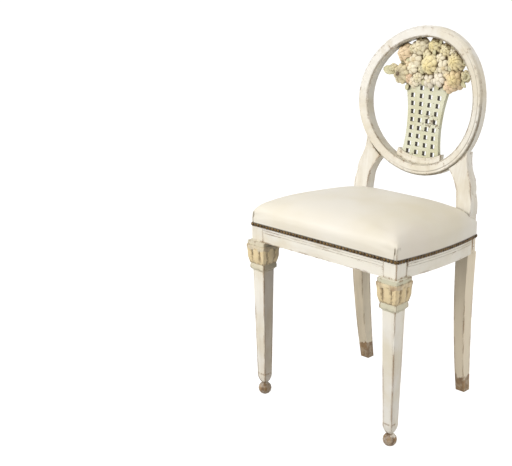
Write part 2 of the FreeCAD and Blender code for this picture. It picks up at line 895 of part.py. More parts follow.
# Round back, built up from four segments and hollowed in plan for the sitter
def hollowedSegment(section, start, end):
    # a section carried round the ring's axis, from one direction to another
    corners = [(value(radius), value(depth)) for radius, depth in section]
    steps = math.ceil((end - start) / facetAngle)
    rings = []
    for step in range(steps + 1):
        angle = math.radians(start + (end - start) * step / steps)
        rings.append([hollowed(radius, angle, depth) for radius, depth in corners])
    return placed(facetedSolid(rings), ringPlace)


def cutPiece(label, base, tool):
    cut = document.addObject("Part::Cut", label)
    cut.Label = label
    cut.Base = base
    cut.Tool = tool
    return keep(cut)


outerRim = "ring_width / 2"
innerRim = "(ring_width / 2 - ring_face_width)"
ringFace = "ring_thickness / 2"
facetAngle = 6
ringSection = [
    (innerRim, "ring_bead - ring_thickness / 2"),
    (f"{innerRim} + ring_bead", "-ring_thickness / 2"),
    (f"{outerRim} - ring_back_round", "-ring_thickness / 2"),
    (outerRim, "ring_back_round - ring_thickness / 2"),
    (outerRim, f"{ringFace} - ring_outer_round"),
    (f"{outerRim} - ring_outer_round * 0.75", ringFace),
    (f"{innerRim} + ring_bead * 1.6", ringFace),
    (f"{innerRim} + ring_bead", f"{ringFace} - ring_bead / 2"),
    (innerRim, f"{ringFace} - ring_bead / 2"),
]


ringHoles = [placed(bore, ringPlace) for bore in pegBores(ringJointPegs())] + postHoles
crown = size("ring_crown_angle")
foot = size("ring_joint_angle")
lowerSpan = (180 + foot, 360 - foot)
for label, span in (
    ("ring_top", (crown, 180 - crown)),
    ("ring_bottom", lowerSpan),
    ("ring_side_left", (-foot, crown)),
    ("ring_side_right", (180 - crown, 180 + foot)),
):
    piece(label, hollowedSegment(ringSection, *span).cut(ringHoles))

makePegs("ring_dowels", ringJointPegs())
makePegs("post_dowels", postPegs())


# Basket splat and the moulded shoe that it stands in
boardBack = backHollow(size("splat_waist_width") / 2) - ringFront
boardFront = boardBack + size("splat_thickness")


def splatHalfWidth(height):
    # half the basket's width at a height about the ring's centre
    waist = size("splat_waist_width") / 2
    low = -size("splat_waist_drop")
    if height < low:
        end = (size("splat_base_width") / 2, -shoeRadius())
    else:
        end = (size("splat_top_width") / 2, size("splat_top_rise"))
    run = end[1] - low
    rise = end[0] - waist
    radius = (run * run + rise * rise) / (2 * rise)
    return waist + radius - math.sqrt(radius * radius - (height - low) ** 2)


def shoeRadius():
    return ringInner - size("shoe_height")


def makeSplat():
    body = document.addObject("PartDesign::Body", "basket_splat_board")
    outline = sketchOn(body, "XY_Plane", "outline")
    base = "(ring_width / 2 - ring_face_width - shoe_height)"
    rim = f"sqrt({base} * {base} - splat_base_width * splat_base_width / 4)"
    lowRun = f"({rim} - splat_waist_drop)"
    lowRise = "((splat_base_width - splat_waist_width) / 2)"
    highRun = "(splat_top_rise + splat_waist_drop)"
    highRise = "((splat_top_width - splat_waist_width) / 2)"
    lowRadius = f"({lowRun} * {lowRun} + {lowRise} * {lowRise}) / (2 * {lowRise})"
    highRadius = f"({highRun} * {highRun} + {highRise} * {highRise}) / (2 * {highRise})"
    addOutline(outline, [
        ("splat_base_width / 2", f"-{rim}", base, 1),
        ("splat_waist_width / 2", "-splat_waist_drop", lowRadius, -1),
        ("splat_top_width / 2", "splat_top_rise", highRadius, -1),
        ("-splat_top_width / 2", "splat_top_rise"),
        ("-splat_waist_width / 2", "-splat_waist_drop", highRadius, -1),
        ("-splat_base_width / 2", f"-{rim}", lowRadius, -1),
    ])
    padOf(body, outline, "splat_thickness", "board", midplane=False)
    tongue = sketchOn(body, "XY_Plane", "tongue")
    addOutline(tongue, [
        ("splat_tongue_width / 2", f"-{base} - splat_tongue_length"),
        ("splat_tongue_width / 2", "-splat_waist_drop"),
        ("-splat_tongue_width / 2", "-splat_waist_drop"),
        ("-splat_tongue_width / 2", f"-{base} - splat_tongue_length"),
    ])
    padOf(body, tongue, "splat_tongue_thickness", "tongue_pad", midplane=False)
    body.Placement = ringPlace.multiply(Placement(Vector(0, 0, boardBack), Rotation()))
    return body


def basketOpening(row, share):
    # one square opening; share places it along the basket's width at that row
    height = f"(basket_row_pitch * {row} - basket_first_row_drop)"
    half = splatHalfWidth(value(height))
    columnShare = share * half / size("splat_waist_width")
    opening = document.addObject("Part::Box", f"opening_{row}_{len(openings)}")
    opening.setExpression("Length", bind("basket_hole_width"))
    opening.setExpression("Width", bind("basket_hole_width"))
    opening.setExpression("Height", bind("splat_thickness * 3"))
    x = f"splat_waist_width * {columnShare:.6f} - basket_hole_width / 2"
    opening.setExpression("Placement.Base.x", bind(x))
    opening.setExpression("Placement.Base.y", bind(f"{height} - basket_hole_width / 2"))
    opening.setExpression("Placement.Base.z", bind("0 - splat_thickness"))
    openings.append(opening)


def makeShoe():
    # a curved moulding on the ring's inside, with two beads and a groove for the tongue
    front = "(shoe_thickness - ring_thickness / 2)"
    high = f"({innerRim} - shoe_height - shoe_bead / 6)"
    shape = hollowedSegment([
        (innerRim, "ring_bead - ring_thickness / 2"),
        (innerRim, front),
        (f"{innerRim} - shoe_bead", front),
        (f"{innerRim} - shoe_bead * 3", f"{front} - shoe_bead / 2"),
        (f"{innerRim} - shoe_bead * 3.4", f"{front} - shoe_bead"),
        (f"{high} + shoe_bead / 2", f"{front} - shoe_bead"),
        (high, f"{front} - shoe_bead * 1.6"),
        (high, "-ring_thickness / 2"),
        (f"{innerRim} - ring_bead", "-ring_thickness / 2"),
    ], *lowerSpan)
    # trimmed at both ends and hollowed on top to the basket's round lower edge
    width = size("shoe_width")
    ends = block(-width / 2, -ringOuter, -ringOuter, width, ringOuter, ringOuter * 2)
    top = Part.makeCylinder(shoeRadius(), ringOuter * 2, Vector(0, 0, -ringOuter))
    tongue = size("splat_tongue_width")
    groove = block(
        -tongue / 2, -shoeRadius() - size("splat_tongue_length"), boardBack, tongue,
        shoeRadius(), size("splat_tongue_thickness"),
    )
    shape = shape.common(placed(ends, ringPlace)).cut(placed(top, ringPlace))
    piece("splat_shoe", shape.cut(placed(groove, ringPlace)))


# openings of the wickerwork: eight rows of four, and two more under the flowers
openings = []
openingRows = 9
columnPitch = 0.465
for row in range(openingRows):
    columns = (-0.5, 0.5) if row == openingRows - 1 else (-1.5, -0.5, 0.5, 1.5)
    for column in columns:
        basketOpening(row, column * columnPitch)
wickerwork = document.addObject("Part::Compound", "basket_openings")
wickerwork.Links = openings
wickerwork.Placement = ringPlace.multiply(Placement(Vector(0, 0, boardBack), Rotation()))
cutPiece("basket_splat", makeSplat(), wickerwork)
makeShoe()

# Carved bouquet: places and radii as shares of the ring's inner radius, then the depth's share
flowerShares = (
    (0.045, 0.566, 0.175, 1.0),
    (-0.198, 0.82, 0.14, 0.85),
    (0.055, 0.862, 0.115, 0.8),
    (0.305, 0.835, 0.1, 0.75),
    (0.53, 0.672, 0.14, 0.95),
    (0.53, 0.4, 0.155, 0.95),
    (-0.476, 0.7, 0.135, 0.9),
    (-0.497, 0.387, 0.125, 0.85),
    (-0.252, 0.625, 0.1, 0.8),
    (-0.287, 0.49, 0.09, 0.75),
    (-0.175, 0.357, 0.1, 0.75),
    (0.236, 0.375, 0.105, 0.75),
    (0.325, 0.55, 0.1, 0.75),
    (-0.27, 0.27, 0.095, 0.65),
    (0.055, 0.33, 0.11, 0.65),
    (0.41, 0.27, 0.09, 0.6),
    (-0.345, 0.325, 0.08, 0.65),
    (0.44, 0.8, 0.07, 0.6),
)
leafShares = (
    (-0.72, 0.45, 0.17, 200),
    (0.735, 0.465, 0.15, -12),
)


def polygonRing(x, y, depth, radius, count, stretch=1.0, angle=0.0):
    points = []
    lean = math.radians(angle)
    for index in range(count):
        around = 2 * math.pi * index / count
        across = radius * stretch * math.cos(around)
        up = radius * math.sin(around)
        points.append(Vector(
            x + across * math.cos(lean) - up * math.sin(lean),
            y + across * math.sin(lean) + up * math.cos(lean),
            depth,
        ))
    return points


def rosette(x, y, radius, front, back, count, stretch=1.0, angle=0.0):
    # a faceted flower head: full width at its shoulder, then a smaller crown of petals
    depth = front - back
    levels = ((0, 0.92), (0.5, 1.0), (1.0, 0.55))
    return facetedSolid([
        polygonRing(x, y, back + depth * level, radius * share, count, stretch, angle)
        for level, share in levels
    ])


def makeBouquet():
    back = boardFront
    front = boardBack + size("bouquet_thickness")
    shapes = []
    for x, y, radius, depth in flowerShares:
        ahead = backHollow(x * ringInner) - backHollow(0)
        shapes.append(rosette(
            x * ringInner, y * ringInner, radius * ringInner,
            back + (front - back) * depth + ahead, back, 8,
        ))
    for x, y, radius, angle in leafShares:
        ahead = backHollow(x * ringInner) - backHollow(0)
        shapes.append(rosette(
            x * ringInner, y * ringInner, radius * ringInner * 0.62,
            back + (front - back) * 0.55 + ahead, back, 6, 1.6, angle,
        ))
    # the ground behind the flowers that the carver leaves, above the basket's rim
    ground = facetedSolid([
        polygonRing(0, 0.61 * ringInner, depth, ringInner * 0.33, 12, 1.72)
        for depth in (boardBack, boardBack + size("bouquet_ground_thickness"))
    ])
    rim = block(
        -ringOuter, size("splat_top_rise") - ringOuter, boardBack - ringOuter, ringOuter * 2,
        ringOuter, ringOuter + size("splat_thickness"),
    )
    shapes.append(ground.cut(rim))
    shape = shapes[0].fuse(shapes[1:])
    limit = Part.makeCylinder(
        ringInner - size("bouquet_clearance"), ringOuter, Vector(0, 0, boardBack)
    )
    shape = shape.common(limit).removeSplitter()
    return placed(shape, ringPlace)


piece("flower_bouquet", makeBouquet())


# Upholstery, from the webbing up to the leather
frameDepth = (backFace - frontFace) / math.cos(math.atan(slope))
webLap = size("webbing_lap")
webThick = size("webbing_thickness")


def strap(name, x, back, up, length, width):
    # one webbing strap on the sloping frame; length and width are in sheet names
    box = document.addObject("Part::Box", name)
    box.setExpression("Length", bind(length))
    box.setExpression("Width", bind(width))
    box.setExpression("Height", bind("webbing_thickness"))
    seatPlane = turned(-size("seat_slope_angle"), 0, frontFace, railTop)
    box.Placement = seatPlane.multiply(Placement(Vector(x, back, up), Rotation()))
    return box


def strapGroup(label, straps):
    group = document.addObject("Part::Compound", label)
    group.Label = label
    group.Links = straps
    keep(group)


inward = size("rail_thickness") - webLap
seatDepth = "(seat_depth + rear_leg_depth) / cos(seat_slope_angle * 1 deg)"
strapGroup("webbing_lengthwise", [
    strap(
        f"long_strap_{place}", place * frontHalf * 0.5 - size("webbing_width") / 2, inward, 0,
        "webbing_width", f"{seatDepth} - 2 * (rail_thickness - webbing_lap)",
    )
    for place in (-1, 0, 1)
])
crossStraps = []
for index, share in enumerate((0.2, 0.46, 0.72)):
    reach = frontHalf + (rearHalf - frontHalf) * share - inward
    frontReach = f"(leg_spacing + block_width) * {1 - share:.2f}"
    rearReach = f"(rear_leg_spacing + 2 * seat_corner_inset) * {share:.2f}"
    crossStraps.append(strap(
        f"cross_strap_{index}", -reach, frameDepth * share, webThick,
        f"{frontReach} + {rearReach} - 2 * (rail_thickness - webbing_lap)", "webbing_width",
    ))
strapGroup("webbing_crosswise", crossStraps)

hessianBase = 2 * webThick
hessianTop = hessianBase + size("hessian_thickness")
clear = size("leather_clearance")
skin = size("leather_thickness")
bulge = size("cushion_bulge")


def postSlots(extra):
    # the room that the posts take where they rise through the seat, inside its outer skin
    half = size("rear_leg_width") / 2 + extra
    inside = seatSlab(clear / 2, -size("rail_height"), size("rail_height"))
    shapes = []
    for sign in (1, -1):
        middle = sign * (size("rear_leg_spacing") / 2 - size("rear_leg_width") / 2)
        shapes.append(block(
            middle - half, rearFace - extra, size("rail_bottom"), 2 * half,
            size("rear_leg_depth") + 2 * extra, size("rail_height") * 3,
        ).common(inside))
    return shapes


def rearLift(base, share):
    # the cushion's top stays more level than the rails, which drop to the rear
    def rise(x, y):
        back = (y - frontFace) / (backFace - frontFace)
        return base + share * size("cushion_rear_lift") * back
    return rise


def cushionLevels(inward, down):
    # outset and height of the cushion's outlines, drawn in by inward and lowered by down
    edge = size("cushion_edge_rise")
    crown = size("cushion_crown_rise")
    inside = size("cushion_crown_width")
    shoulder = size("cushion_shoulder_width")
    shoulderRise = size("cushion_shoulder_rise")
    levels = (
        (clear + skin, 0, 0),
        (clear + skin + bulge, edge * 0.5, 0),
        (clear + skin, edge, 0.1),
        (-shoulder * 0.4, edge + (shoulderRise - edge) * 0.7, 0.15),
        (-shoulder, shoulderRise, 0.2),
        (-inside * 0.35, shoulderRise + (crown - shoulderRise) * 0.6, 0.5),
        (-inside * 0.65, shoulderRise + (crown - shoulderRise) * 0.9, 0.8),
        (-inside, crown, 1.0),
    )
    made = []
    for outset, height, lift in levels:
        base = height - (down if height > 0 else 0)
        made.append(seatRing(outset - inward, rearLift(base, lift)))
    return made


def makePadding():
    shape = facetedSolid(cushionLevels(skin + clear, skin + clear))
    shape = shape.cut(seatSlab(size("rail_thickness"), -size("rail_height"), hessianTop))
    return shape.cut(postSlots(size("post_slot_clearance")))


def makeLeather():
    # one skin: down its inner face, round the lower edge and up its outer face
    drop = -size("leather_drop")
    inner = cushionLevels(skin, skin)[::-1] + [seatRing(clear, drop)]
    outer = [seatRing(clear + skin, drop)] + cushionLevels(0, 0)
    return facetedSolid(inner + outer).cut(postSlots(size("post_slot_clearance")))


hessian = seatSlab(-webLap / 2, hessianBase, hessianTop)
piece("hessian", hessian.cut(postSlots(size("post_slot_clearance"))))
piece("seat_padding", makePadding())
piece("leather_cover", makeLeather())
dustTop = -size("rail_height")
dust = seatSlab(-size("dust_cover_margin"), dustTop - size("dust_cover_thickness"), dustTop)
legNotch = size("abacus_width") / 2 + size("post_slot_clearance")
rearNotch = size("rear_leg_spacing") / 2 - size("rear_leg_width") - size("post_slot_clearance")
notchBase = size("rail_bottom") - size("rail_height")
notches = bothSides([
    block(
        size("leg_spacing") / 2 - legNotch, -legForward - legNotch, notchBase,
        2 * legNotch, 2 * legNotch, size("rail_height") * 2,
    ),
    block(
        rearNotch, rearFace - size("post_slot_clearance"), notchBase,
        size("block_width") * 2, size("block_width") * 2, size("rail_height") * 2,
    ),
])
piece("dust_cover", dust.cut(notches))


# Nails: domed heads in a close row along the leather's lower edge, one group for each side
def nailHead(place, outward):
    radius = size("nail_head_width") / 2
    across = outward.cross(Vector(0, 0, 1)).normalize()
    up = across.cross(outward).normalize()
    rings = []
    for level, share in ((0, 1.0), (1.0, 0.5)):
        middle = place.add(Vector(outward).multiply(level * size("nail_head_height")))
        ring = []
        for index in range(6):
            around = math.radians(60 * index)
            point = middle.add(Vector(across).multiply(radius * share * math.cos(around)))
            ring.append(point.add(Vector(up).multiply(radius * share * math.sin(around))))
        rings.append(ring)
    return facetedSolid(rings)


def nailRow(label, corners, count):
    # nails at even steps along a line of corners on the leather's face
    pitch = sum(a.distanceToPoint(b) for a, b in zip(corners, corners[1:])) / count
    made = []
    walked = 0
    for start, end in zip(corners, corners[1:]):
        way = end.sub(start)
        reach = way.Length
        way.normalize()
        outward = way.cross(Vector(0, 0, 1)).normalize()
        if outward.dot(start.sub(seatMiddle)) < 0:
            outward = outward.multiply(-1)
        for index in range(count):
            along = (index + 0.5) * pitch - walked
            if 0 <= along < reach:
                made.append(nailHead(start.add(Vector(way).multiply(along)), outward))
        walked += reach
    piece(label, Part.makeCompound(made))


seatMiddle = Vector(0, (frontFace + backFace) / 2, railTop)
nailRing = seatRing(clear + skin, size("nail_rise") - size("leather_drop"))
sideCorners = len(nailRing) // 2
nailRow("nailheads_front", [nailRing[-1], nailRing[0]], int(size("front_nail_count")))
nailRow("nailheads_left", nailRing[:sideCorners], int(size("side_nail_count")))
nailRow("nailheads_right", nailRing[sideCorners:], int(size("side_nail_count")))
nailRow(
    "nailheads_rear", nailRing[sideCorners - 1:sideCorners + 1], int(size("rear_nail_count"))
)


def checkAndWrite():
    document.recompute()
    for item in document.Objects:
        if "Invalid" in item.State or "Error" in item.State:
            raise RuntimeError(f"{item.Label} failed: {item.State}")
    os.makedirs("parts", exist_ok=True)
    for item in parts:
        shape = item.Shape
        if shape.isNull() or not shape.isValid():
            raise RuntimeError(f"{item.Label} has no valid shape")
        shape.exportStep(os.path.join("parts", f"{item.Label}.step"))
        print(item.Label, len(shape.Solids), round(shape.Volume / 1000, 1))


checkAndWrite()
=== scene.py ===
import json
import math
import random

import bmesh
import bpy
from mathutils import Matrix, Vector


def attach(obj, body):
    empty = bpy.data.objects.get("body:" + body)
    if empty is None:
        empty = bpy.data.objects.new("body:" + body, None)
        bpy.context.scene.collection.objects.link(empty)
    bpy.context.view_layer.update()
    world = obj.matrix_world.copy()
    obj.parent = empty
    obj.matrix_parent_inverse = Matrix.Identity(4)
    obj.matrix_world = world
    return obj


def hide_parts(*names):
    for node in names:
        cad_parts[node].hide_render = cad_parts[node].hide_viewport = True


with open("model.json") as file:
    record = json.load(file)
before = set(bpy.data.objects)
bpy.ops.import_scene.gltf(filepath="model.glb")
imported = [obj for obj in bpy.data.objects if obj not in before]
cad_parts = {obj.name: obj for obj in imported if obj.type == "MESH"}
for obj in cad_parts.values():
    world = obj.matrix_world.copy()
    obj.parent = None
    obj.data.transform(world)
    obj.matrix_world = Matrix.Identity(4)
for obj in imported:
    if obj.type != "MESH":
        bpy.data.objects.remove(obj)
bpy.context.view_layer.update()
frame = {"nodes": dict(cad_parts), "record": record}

nodes = frame["nodes"]
millimetre = 0.001
print("frame loaded", len(nodes))


# Helpers that build a finish out of shader nodes
def srgb(red, green, blue):
    # a colour as read off a screen, 0 to 255, made linear
    def linear(part):
        part = part / 255
        return part / 12.92 if part <= 0.04045 else ((part + 0.055) / 1.055) ** 2.4
    return (linear(red), linear(green), linear(blue), 1.0)


class Amount:
    # one shader socket that Python's own signs can work on
    def __init__(self, finish, socket):
        self.finish = finish
        self.socket = socket

    def join(self, operation, first, second):
        return self.finish.node("ShaderNodeMath", {"operation": operation}, {0: first, 1: second})

    def __add__(self, other):
        return self.join("ADD", self, other)

    def __sub__(self, other):
        return self.join("SUBTRACT", self, other)

    def __rsub__(self, other):
        return self.join("SUBTRACT", other, self)

    def __mul__(self, other):
        return self.join("MULTIPLY", self, other)

    def __truediv__(self, other):
        return self.join("DIVIDE", self, other)

    def __pow__(self, other):
        return self.join("POWER", self, other)

    def least(self, other):
        return self.join("MINIMUM", self, other)

    def most(self, other):
        return self.join("MAXIMUM", self, other)

    __radd__ = __add__
    __rmul__ = __mul__


class Finish:
    # one material, or the world's light, built up node by node
    edgeSamples = 6

    def __init__(self, name, owner=None):
        self.material = owner or bpy.data.materials.new(name)
        self.material.use_nodes = True
        self.tree = self.material.node_tree
        self.tree.nodes.clear()
        self.place = self.node("ShaderNodeTexCoord", output="Object")

    def node(self, kind, settings=None, sockets=None, output=0):
        made = self.tree.nodes.new(kind)
        for key, setting in (settings or {}).items():
            setattr(made, key, setting)
        for key, feed in (sockets or {}).items():
            if isinstance(feed, Amount):
                self.tree.links.new(feed.socket, made.inputs[key])
            else:
                made.inputs[key].default_value = feed
        return Amount(self, made.outputs[output] if len(made.outputs) else None)

    def axis(self, name):
        return self.node("ShaderNodeSeparateXYZ", {}, {0: self.place}, output=name)

    def normal(self):
        return self.node("ShaderNodeNewGeometry", output="Normal")

    def facing(self, name):
        return self.node("ShaderNodeSeparateXYZ", {}, {0: self.normal()}, output=name)

    def noise(self, scale, detail=3.0, rough=0.55, stretch=(1, 1, 1), shift=(0, 0, 0), bend=0.0):
        spread = self.node(
            "ShaderNodeMapping", {}, {"Vector": self.place, "Location": shift, "Scale": stretch}
        )
        return self.node("ShaderNodeTexNoise", {}, {
            "Vector": spread, "Scale": scale, "Detail": detail, "Roughness": rough,
            "Distortion": bend,
        })

    def cells(self, scale, feature):
        return self.node(
            "ShaderNodeTexVoronoi", {"feature": feature}, {"Vector": self.place, "Scale": scale}
        )

    def step(self, amount, low, high, start=0.0, end=1.0):
        return self.node(
            "ShaderNodeMapRange", {"interpolation_type": "SMOOTHSTEP"},
            {"Value": amount, "From Min": low, "From Max": high, "To Min": start, "To Max": end},
        )

    def band(self, height, base, levels):
        # 1 between two levels over the base, and soft at both
        low, high, fade = levels
        low, high = base + low, base + high
        up = self.step(height, low - fade, low + fade)
        return up * self.step(height, high - fade, high + fade, 1.0, 0.0)

    def mix(self, factor, first, second):
        return self.node(
            "ShaderNodeMix", {"data_type": "RGBA", "clamp_factor": True},
            {0: factor, 6: first, 7: second}, output=2,
        )

    def arris(self, radius):
        # 0 on a flat face, rising towards 1 on a sharp edge
        rounded = self.node("ShaderNodeBevel", {"samples": self.edgeSamples}, {"Radius": radius})
        return 1.0 - self.node(
            "ShaderNodeVectorMath", {"operation": "DOT_PRODUCT"}, {0: rounded, 1: self.normal()},
            output="Value",
        )

    def crevice(self, reach):
        # 0 in the open, rising towards 1 in a corner
        return 1.0 - self.node(
            "ShaderNodeAmbientOcclusion", {"samples": self.edgeSamples}, {"Distance": reach},
            output="AO",
        )

    def cornerDirtAndShade(self, colour, tone, strength, reach, low, high):
        # darkening in the corners: dirt where it gathers, and painted shade where shade would fall
        return self.mix(self.step(self.crevice(reach), low, high) * strength, colour, tone)

    def seen(self):
        # 1 where the background is seen, directly, in a shiny face or through glass
        camera, glossy, through = (
            self.node("ShaderNodeLightPath", output=f"Is {kind} Ray")
            for kind in ("Camera", "Glossy", "Transmission")
        )
        return camera.most(glossy).most(through)

    def bump(self, height, strength, distance):
        return self.node(
            "ShaderNodeBump", {}, {"Height": height, "Strength": strength, "Distance": distance}
        )

    def surface(self, colour, roughness, normal, **constants):
        sockets = {"Base Color": colour, "Roughness": roughness, "Normal": normal, **constants}
        shader = self.node("ShaderNodeBsdfPrincipled", {}, sockets)
        self.node("ShaderNodeOutputMaterial", {}, {"Surface": shader})
        return self.material


# The round back: its own X is the chair's and its own Z faces forward; it is hollowed in plan
back = {
    "setback": 0.1672, "height": 0.7185, "tilt": 7.25, "radius": 0.18, "inner": 0.1525,
    "hollow": 0.024, "meet": 44.5, "shoeGrooves": (0.1488, 0.1442),
}
ringMatrix = Matrix.Translation((0, back["setback"], back["height"])) @ Matrix.Rotation(
    math.radians(90 - back["tilt"]), 4, "X"
)


def hollow(x):
    # how far the back stands forward beside its middle; nothing where it meets the posts
    neutral = math.cos(math.radians(back["meet"])) ** 2
    return back["hollow"] * ((x / back["radius"]) ** 2 - neutral)


# The seat's outline, seen from above, and the slope of its rails
seat = {
    "front": -0.205, "back": 0.159, "knee": -0.168, "frontHalf": 0.2165, "rearHalf": 0.182,
    "bow": 0.0103, "rearCorner": 0.014, "frontCorner": 0.008, "railTop": 0.468, "slope": 4.97,
    "railHeight": 0.058, "skin": 0.0017, "postFront": 0.1234, "postInner": 0.1444,
    "postOuter": 0.1796, "postBack": 0.15915, "blendFrom": 0.085, "nailDrop": 0.0175,
}


def seatPlane(y):
    # height of the rails' top edge
    return seat["railTop"] - (y - seat["front"]) * math.tan(math.radians(seat["slope"]))


# The hide over the stuffing: levels are in millimetres over the rails' plane
hide = {
    "edge": 0.012, "roll": 0.028, "shoulder": 0.022, "crown": 0.021, "crownReach": 0.13,
    "rearLift": 0.014, "ease": 8, "thickness": 0.0014, "flange": 0.012, "cap": 0.003,
    "levels": (9, 6, 3, 0, -5, -10, -14, -18, -22), "hugFront": 0.0038, "hugOuter": 0.0046,
    "pleatX": 0.2105, "pleatDepth": 0.004, "pleatTop": 0.484, "pleatReach": 0.014,
    "pleatCuts": (-0.0065, -0.0028, -0.0011, 0, 0.0011, 0.0028, 0.0055),
    "nailShade": (-0.0052, 0.0052, 0.0009), "foldShade": (-0.0012, 0.0012, 0.0005),
    "besideShade": (0.0048, 0.0058, 0.0006), "pebbles": 620, "creases": 420,
    "heldBelow": 0.003, "heldBeside": 0.008, "foldHalf": 0.0012, "foldFade": 0.0018,
    "puff": 0.42, "puffStart": 0.0008, "puffEnd": 0.0056, "puffWidth": 0.005,
}

# Colours of the paint, fresh, aged and worn through, of the shade painted onto it, and of the other
# finishes
paint = {
    "cream": srgb(232, 227, 214), "creamAged": srgb(214, 204, 181),
    "creamCool": srgb(224, 221, 214), "creamDirty": srgb(192, 178, 150),
    "underSeatShadeTint": srgb(230, 212, 176), "bareWood": srgb(158, 126, 88),
    "darkWoodAndShade": srgb(104, 80, 54), "grimeAndShade": srgb(122, 116, 92), "footWood": srgb(148, 114, 66),
    "inwardShadeTone": srgb(106, 80, 42), "capitalGold": srgb(228, 211, 172),
    "goldAged": srgb(208, 184, 136), "abacusGreen": srgb(192, 189, 160),
    "sage": srgb(211, 211, 188), "sageAged": srgb(200, 197, 164), "sageEdge": srgb(228, 221, 198),
    "basketHoleShade": srgb(78, 64, 44), "petalCreviceShade": srgb(104, 82, 46), "petalStain": srgb(150, 122, 76),
}
leather = {
    "pale": srgb(223, 218, 206), "warm": srgb(217, 209, 188), "blush": srgb(221, 212, 203),
    "nailShadowAndGrime": srgb(50, 38, 26), "pleatShade": srgb(112, 98, 70),
}
metal = {
    "brass": srgb(108, 86, 54), "brassDark": srgb(50, 39, 27), "brassRimTarnishAndShade": srgb(34, 26, 20),
    "steel": srgb(132, 130, 126), "steelDark": srgb(92, 86, 78),
}
beech = {"pale": srgb(196, 160, 118), "dark": srgb(158, 122, 84), "pore": srgb(120, 86, 56)}

# Wear, dirt and painted shade that all the painted wood shares: sizes in metres, strengths from 0 to
# 1
wear = {
    "mottle": 0.75, "streaks": 0.4, "cornerReach": 0.009, "grimeAndShade": 0.85, "arrisRadius": 0.009,
    "worn": 0.9, "chipsFrom": 0.685, "chipsTo": 0.7, "chips": 0.8, "relief": 0.35, "depth": 0.0006,
}


def wornPaint(finish, colour, share, grain):
    # ageing that all painted wood here shares: mottling, rubbed arrises, grime with painted shade in
    # the corners, and small chips
    mottle = finish.noise(9, 4, 0.6)
    colour = finish.mix(finish.step(mottle, 0.42, 0.7) * wear["mottle"], colour, paint["creamAged"])
    streak = finish.noise(26, 4, 0.65, grain)
    streaks = finish.step(streak, 0.48, 0.72) * wear["streaks"]
    colour = finish.mix(streaks, colour, paint["creamDirty"])
    # dirt, with painted shade, gathered in corners and joints
    grimeAndShade = finish.step(finish.noise(60, 3), 0.3, 0.7, 0.45, 1.0) * wear["grimeAndShade"]
    colour = finish.cornerDirtAndShade(colour, paint["grimeAndShade"], grimeAndShade, wear["cornerReach"], 0.3, 0.8)
    edge = finish.step(finish.arris(wear["arrisRadius"]), 0.02, 0.09)
    dashes = finish.noise(70, 4, 0.7, grain)
    worn = edge * finish.step(dashes, 0.62 - 0.16 * share, 0.68 - 0.12 * share)
    tone = finish.mix(finish.noise(90, 2), paint["bareWood"], paint["darkWoodAndShade"])
    colour = finish.mix(worn * wear["worn"], colour, tone)
    chipField = finish.noise(31, 6, 0.75, (1, 1, 0.6), (3, 7, 1))
    chips = finish.step(chipField, wear["chipsFrom"], wear["chipsTo"])
    colour = finish.mix(chips * wear["chips"], colour, tone)
    height = streak * 0.25 - worn * 0.8 - chips * 0.9 + finish.noise(220, 3) * 0.18
    rough = finish.step(mottle, 0.3, 0.8, 0.42, 0.6) + worn * 0.2
    return colour, rough, finish.bump(height, wear["relief"], wear["depth"])


def creamCoat(finish):
    tint = finish.step(finish.noise(4, 2), 0.35, 0.7)
    return finish.mix(tint, paint["cream"], paint["creamCool"])


def creamPaint(name, grain=(1, 1, 0.15)):
    finish = Finish(name)
    return finish.surface(*wornPaint(finish, creamCoat(finish), 0.5, grain))


# Dark lines on the front of the round back, partly dirt and rubbing and partly painted shade, heavier
# on one side, and the painted shadow on its inner wall: where each line starts and ends beside its
# edge, and how soft it is
ringLines = {
    "inner": (-0.002, 0.0032, 0.0008), "outer": (-0.0046, -0.003),
    "bead": (-0.0118, -0.0095, 0.0007), "groove": (-0.0002, 0.0012, 0.0004), "wallShadow": 0.002,
    "shadow": 0.28, "most": 0.9,
}


def ringPaint(name):
    finish = Finish(name)
    colour, rough, normal = wornPaint(finish, creamCoat(finish), 0.6, (1, 1, 1))
    lean = math.radians(back["tilt"])
    up = (finish.axis("Z") - back["height"]) * math.cos(lean)
    up = up + (finish.axis("Y") - back["setback"]) * math.sin(lean)
    across = finish.axis("X")
    reach = (across * across + up * up) ** 0.5
    frontal = finish.step(finish.facing("Y"), -0.8, -0.4, 1.0, 0.0)
    slant = (across - up * 0.6) / back["radius"]
    patchy = finish.step(finish.noise(22, 4, 0.65), 0.32, 0.52, 0.55, 1.0)
    fine = finish.step(finish.noise(120, 4, 0.7), 0.3, 0.5, 0.6, 1.0)
    inner = finish.band(reach, back["inner"], ringLines["inner"])
    outer = finish.step(reach, *(back["radius"] + side for side in ringLines["outer"]))
    bead = finish.band(reach, back["radius"], ringLines["bead"])
    # painted shade with dirt: each line is heavier on one side of the back
    line = inner * finish.step(slant, -0.6, 0.6, 1.0, 0.5)
    line = line.most(outer * finish.step(slant, -0.4, 0.8, 0.25, 1.0))
    line = line.most(bead * finish.step(slant, -0.1, 0.7, 0.0, 0.6))
    for groove in back["shoeGrooves"]:
        line = line.most(finish.band(reach, groove, ringLines["groove"]) * 1.5)
    line = (line * frontal * patchy * fine).least(ringLines["most"])
    tone = finish.mix(finish.noise(60, 2), paint["grimeAndShade"], paint["darkWoodAndShade"])
    colour = finish.mix(line, colour, tone)
    # painted shadow on the inner wall, just behind the front face
    wallEnd = back["inner"] + ringLines["wallShadow"]
    wallShadow = finish.step(reach, back["inner"], wallEnd, ringLines["shadow"], 0.0) * (1.0 - frontal)
    return finish.surface(finish.mix(wallShadow, colour, paint["grimeAndShade"]), rough, normal)


# Zones of the legs, by height: gold leaves, green collar and abacus, bare feet, and the rear legs'
# painted shade below the seat
legZones = {
    "gold": (0.352, 0.4, 0.0012), "green": ((0.333, 0.352, 0.0012), (0.4, 0.41, 0.0012)),
    "frontFoot": 0.034, "rearFoot": 0.048, "ragged": 0.1, "shade": (0.40, 0.45),
}


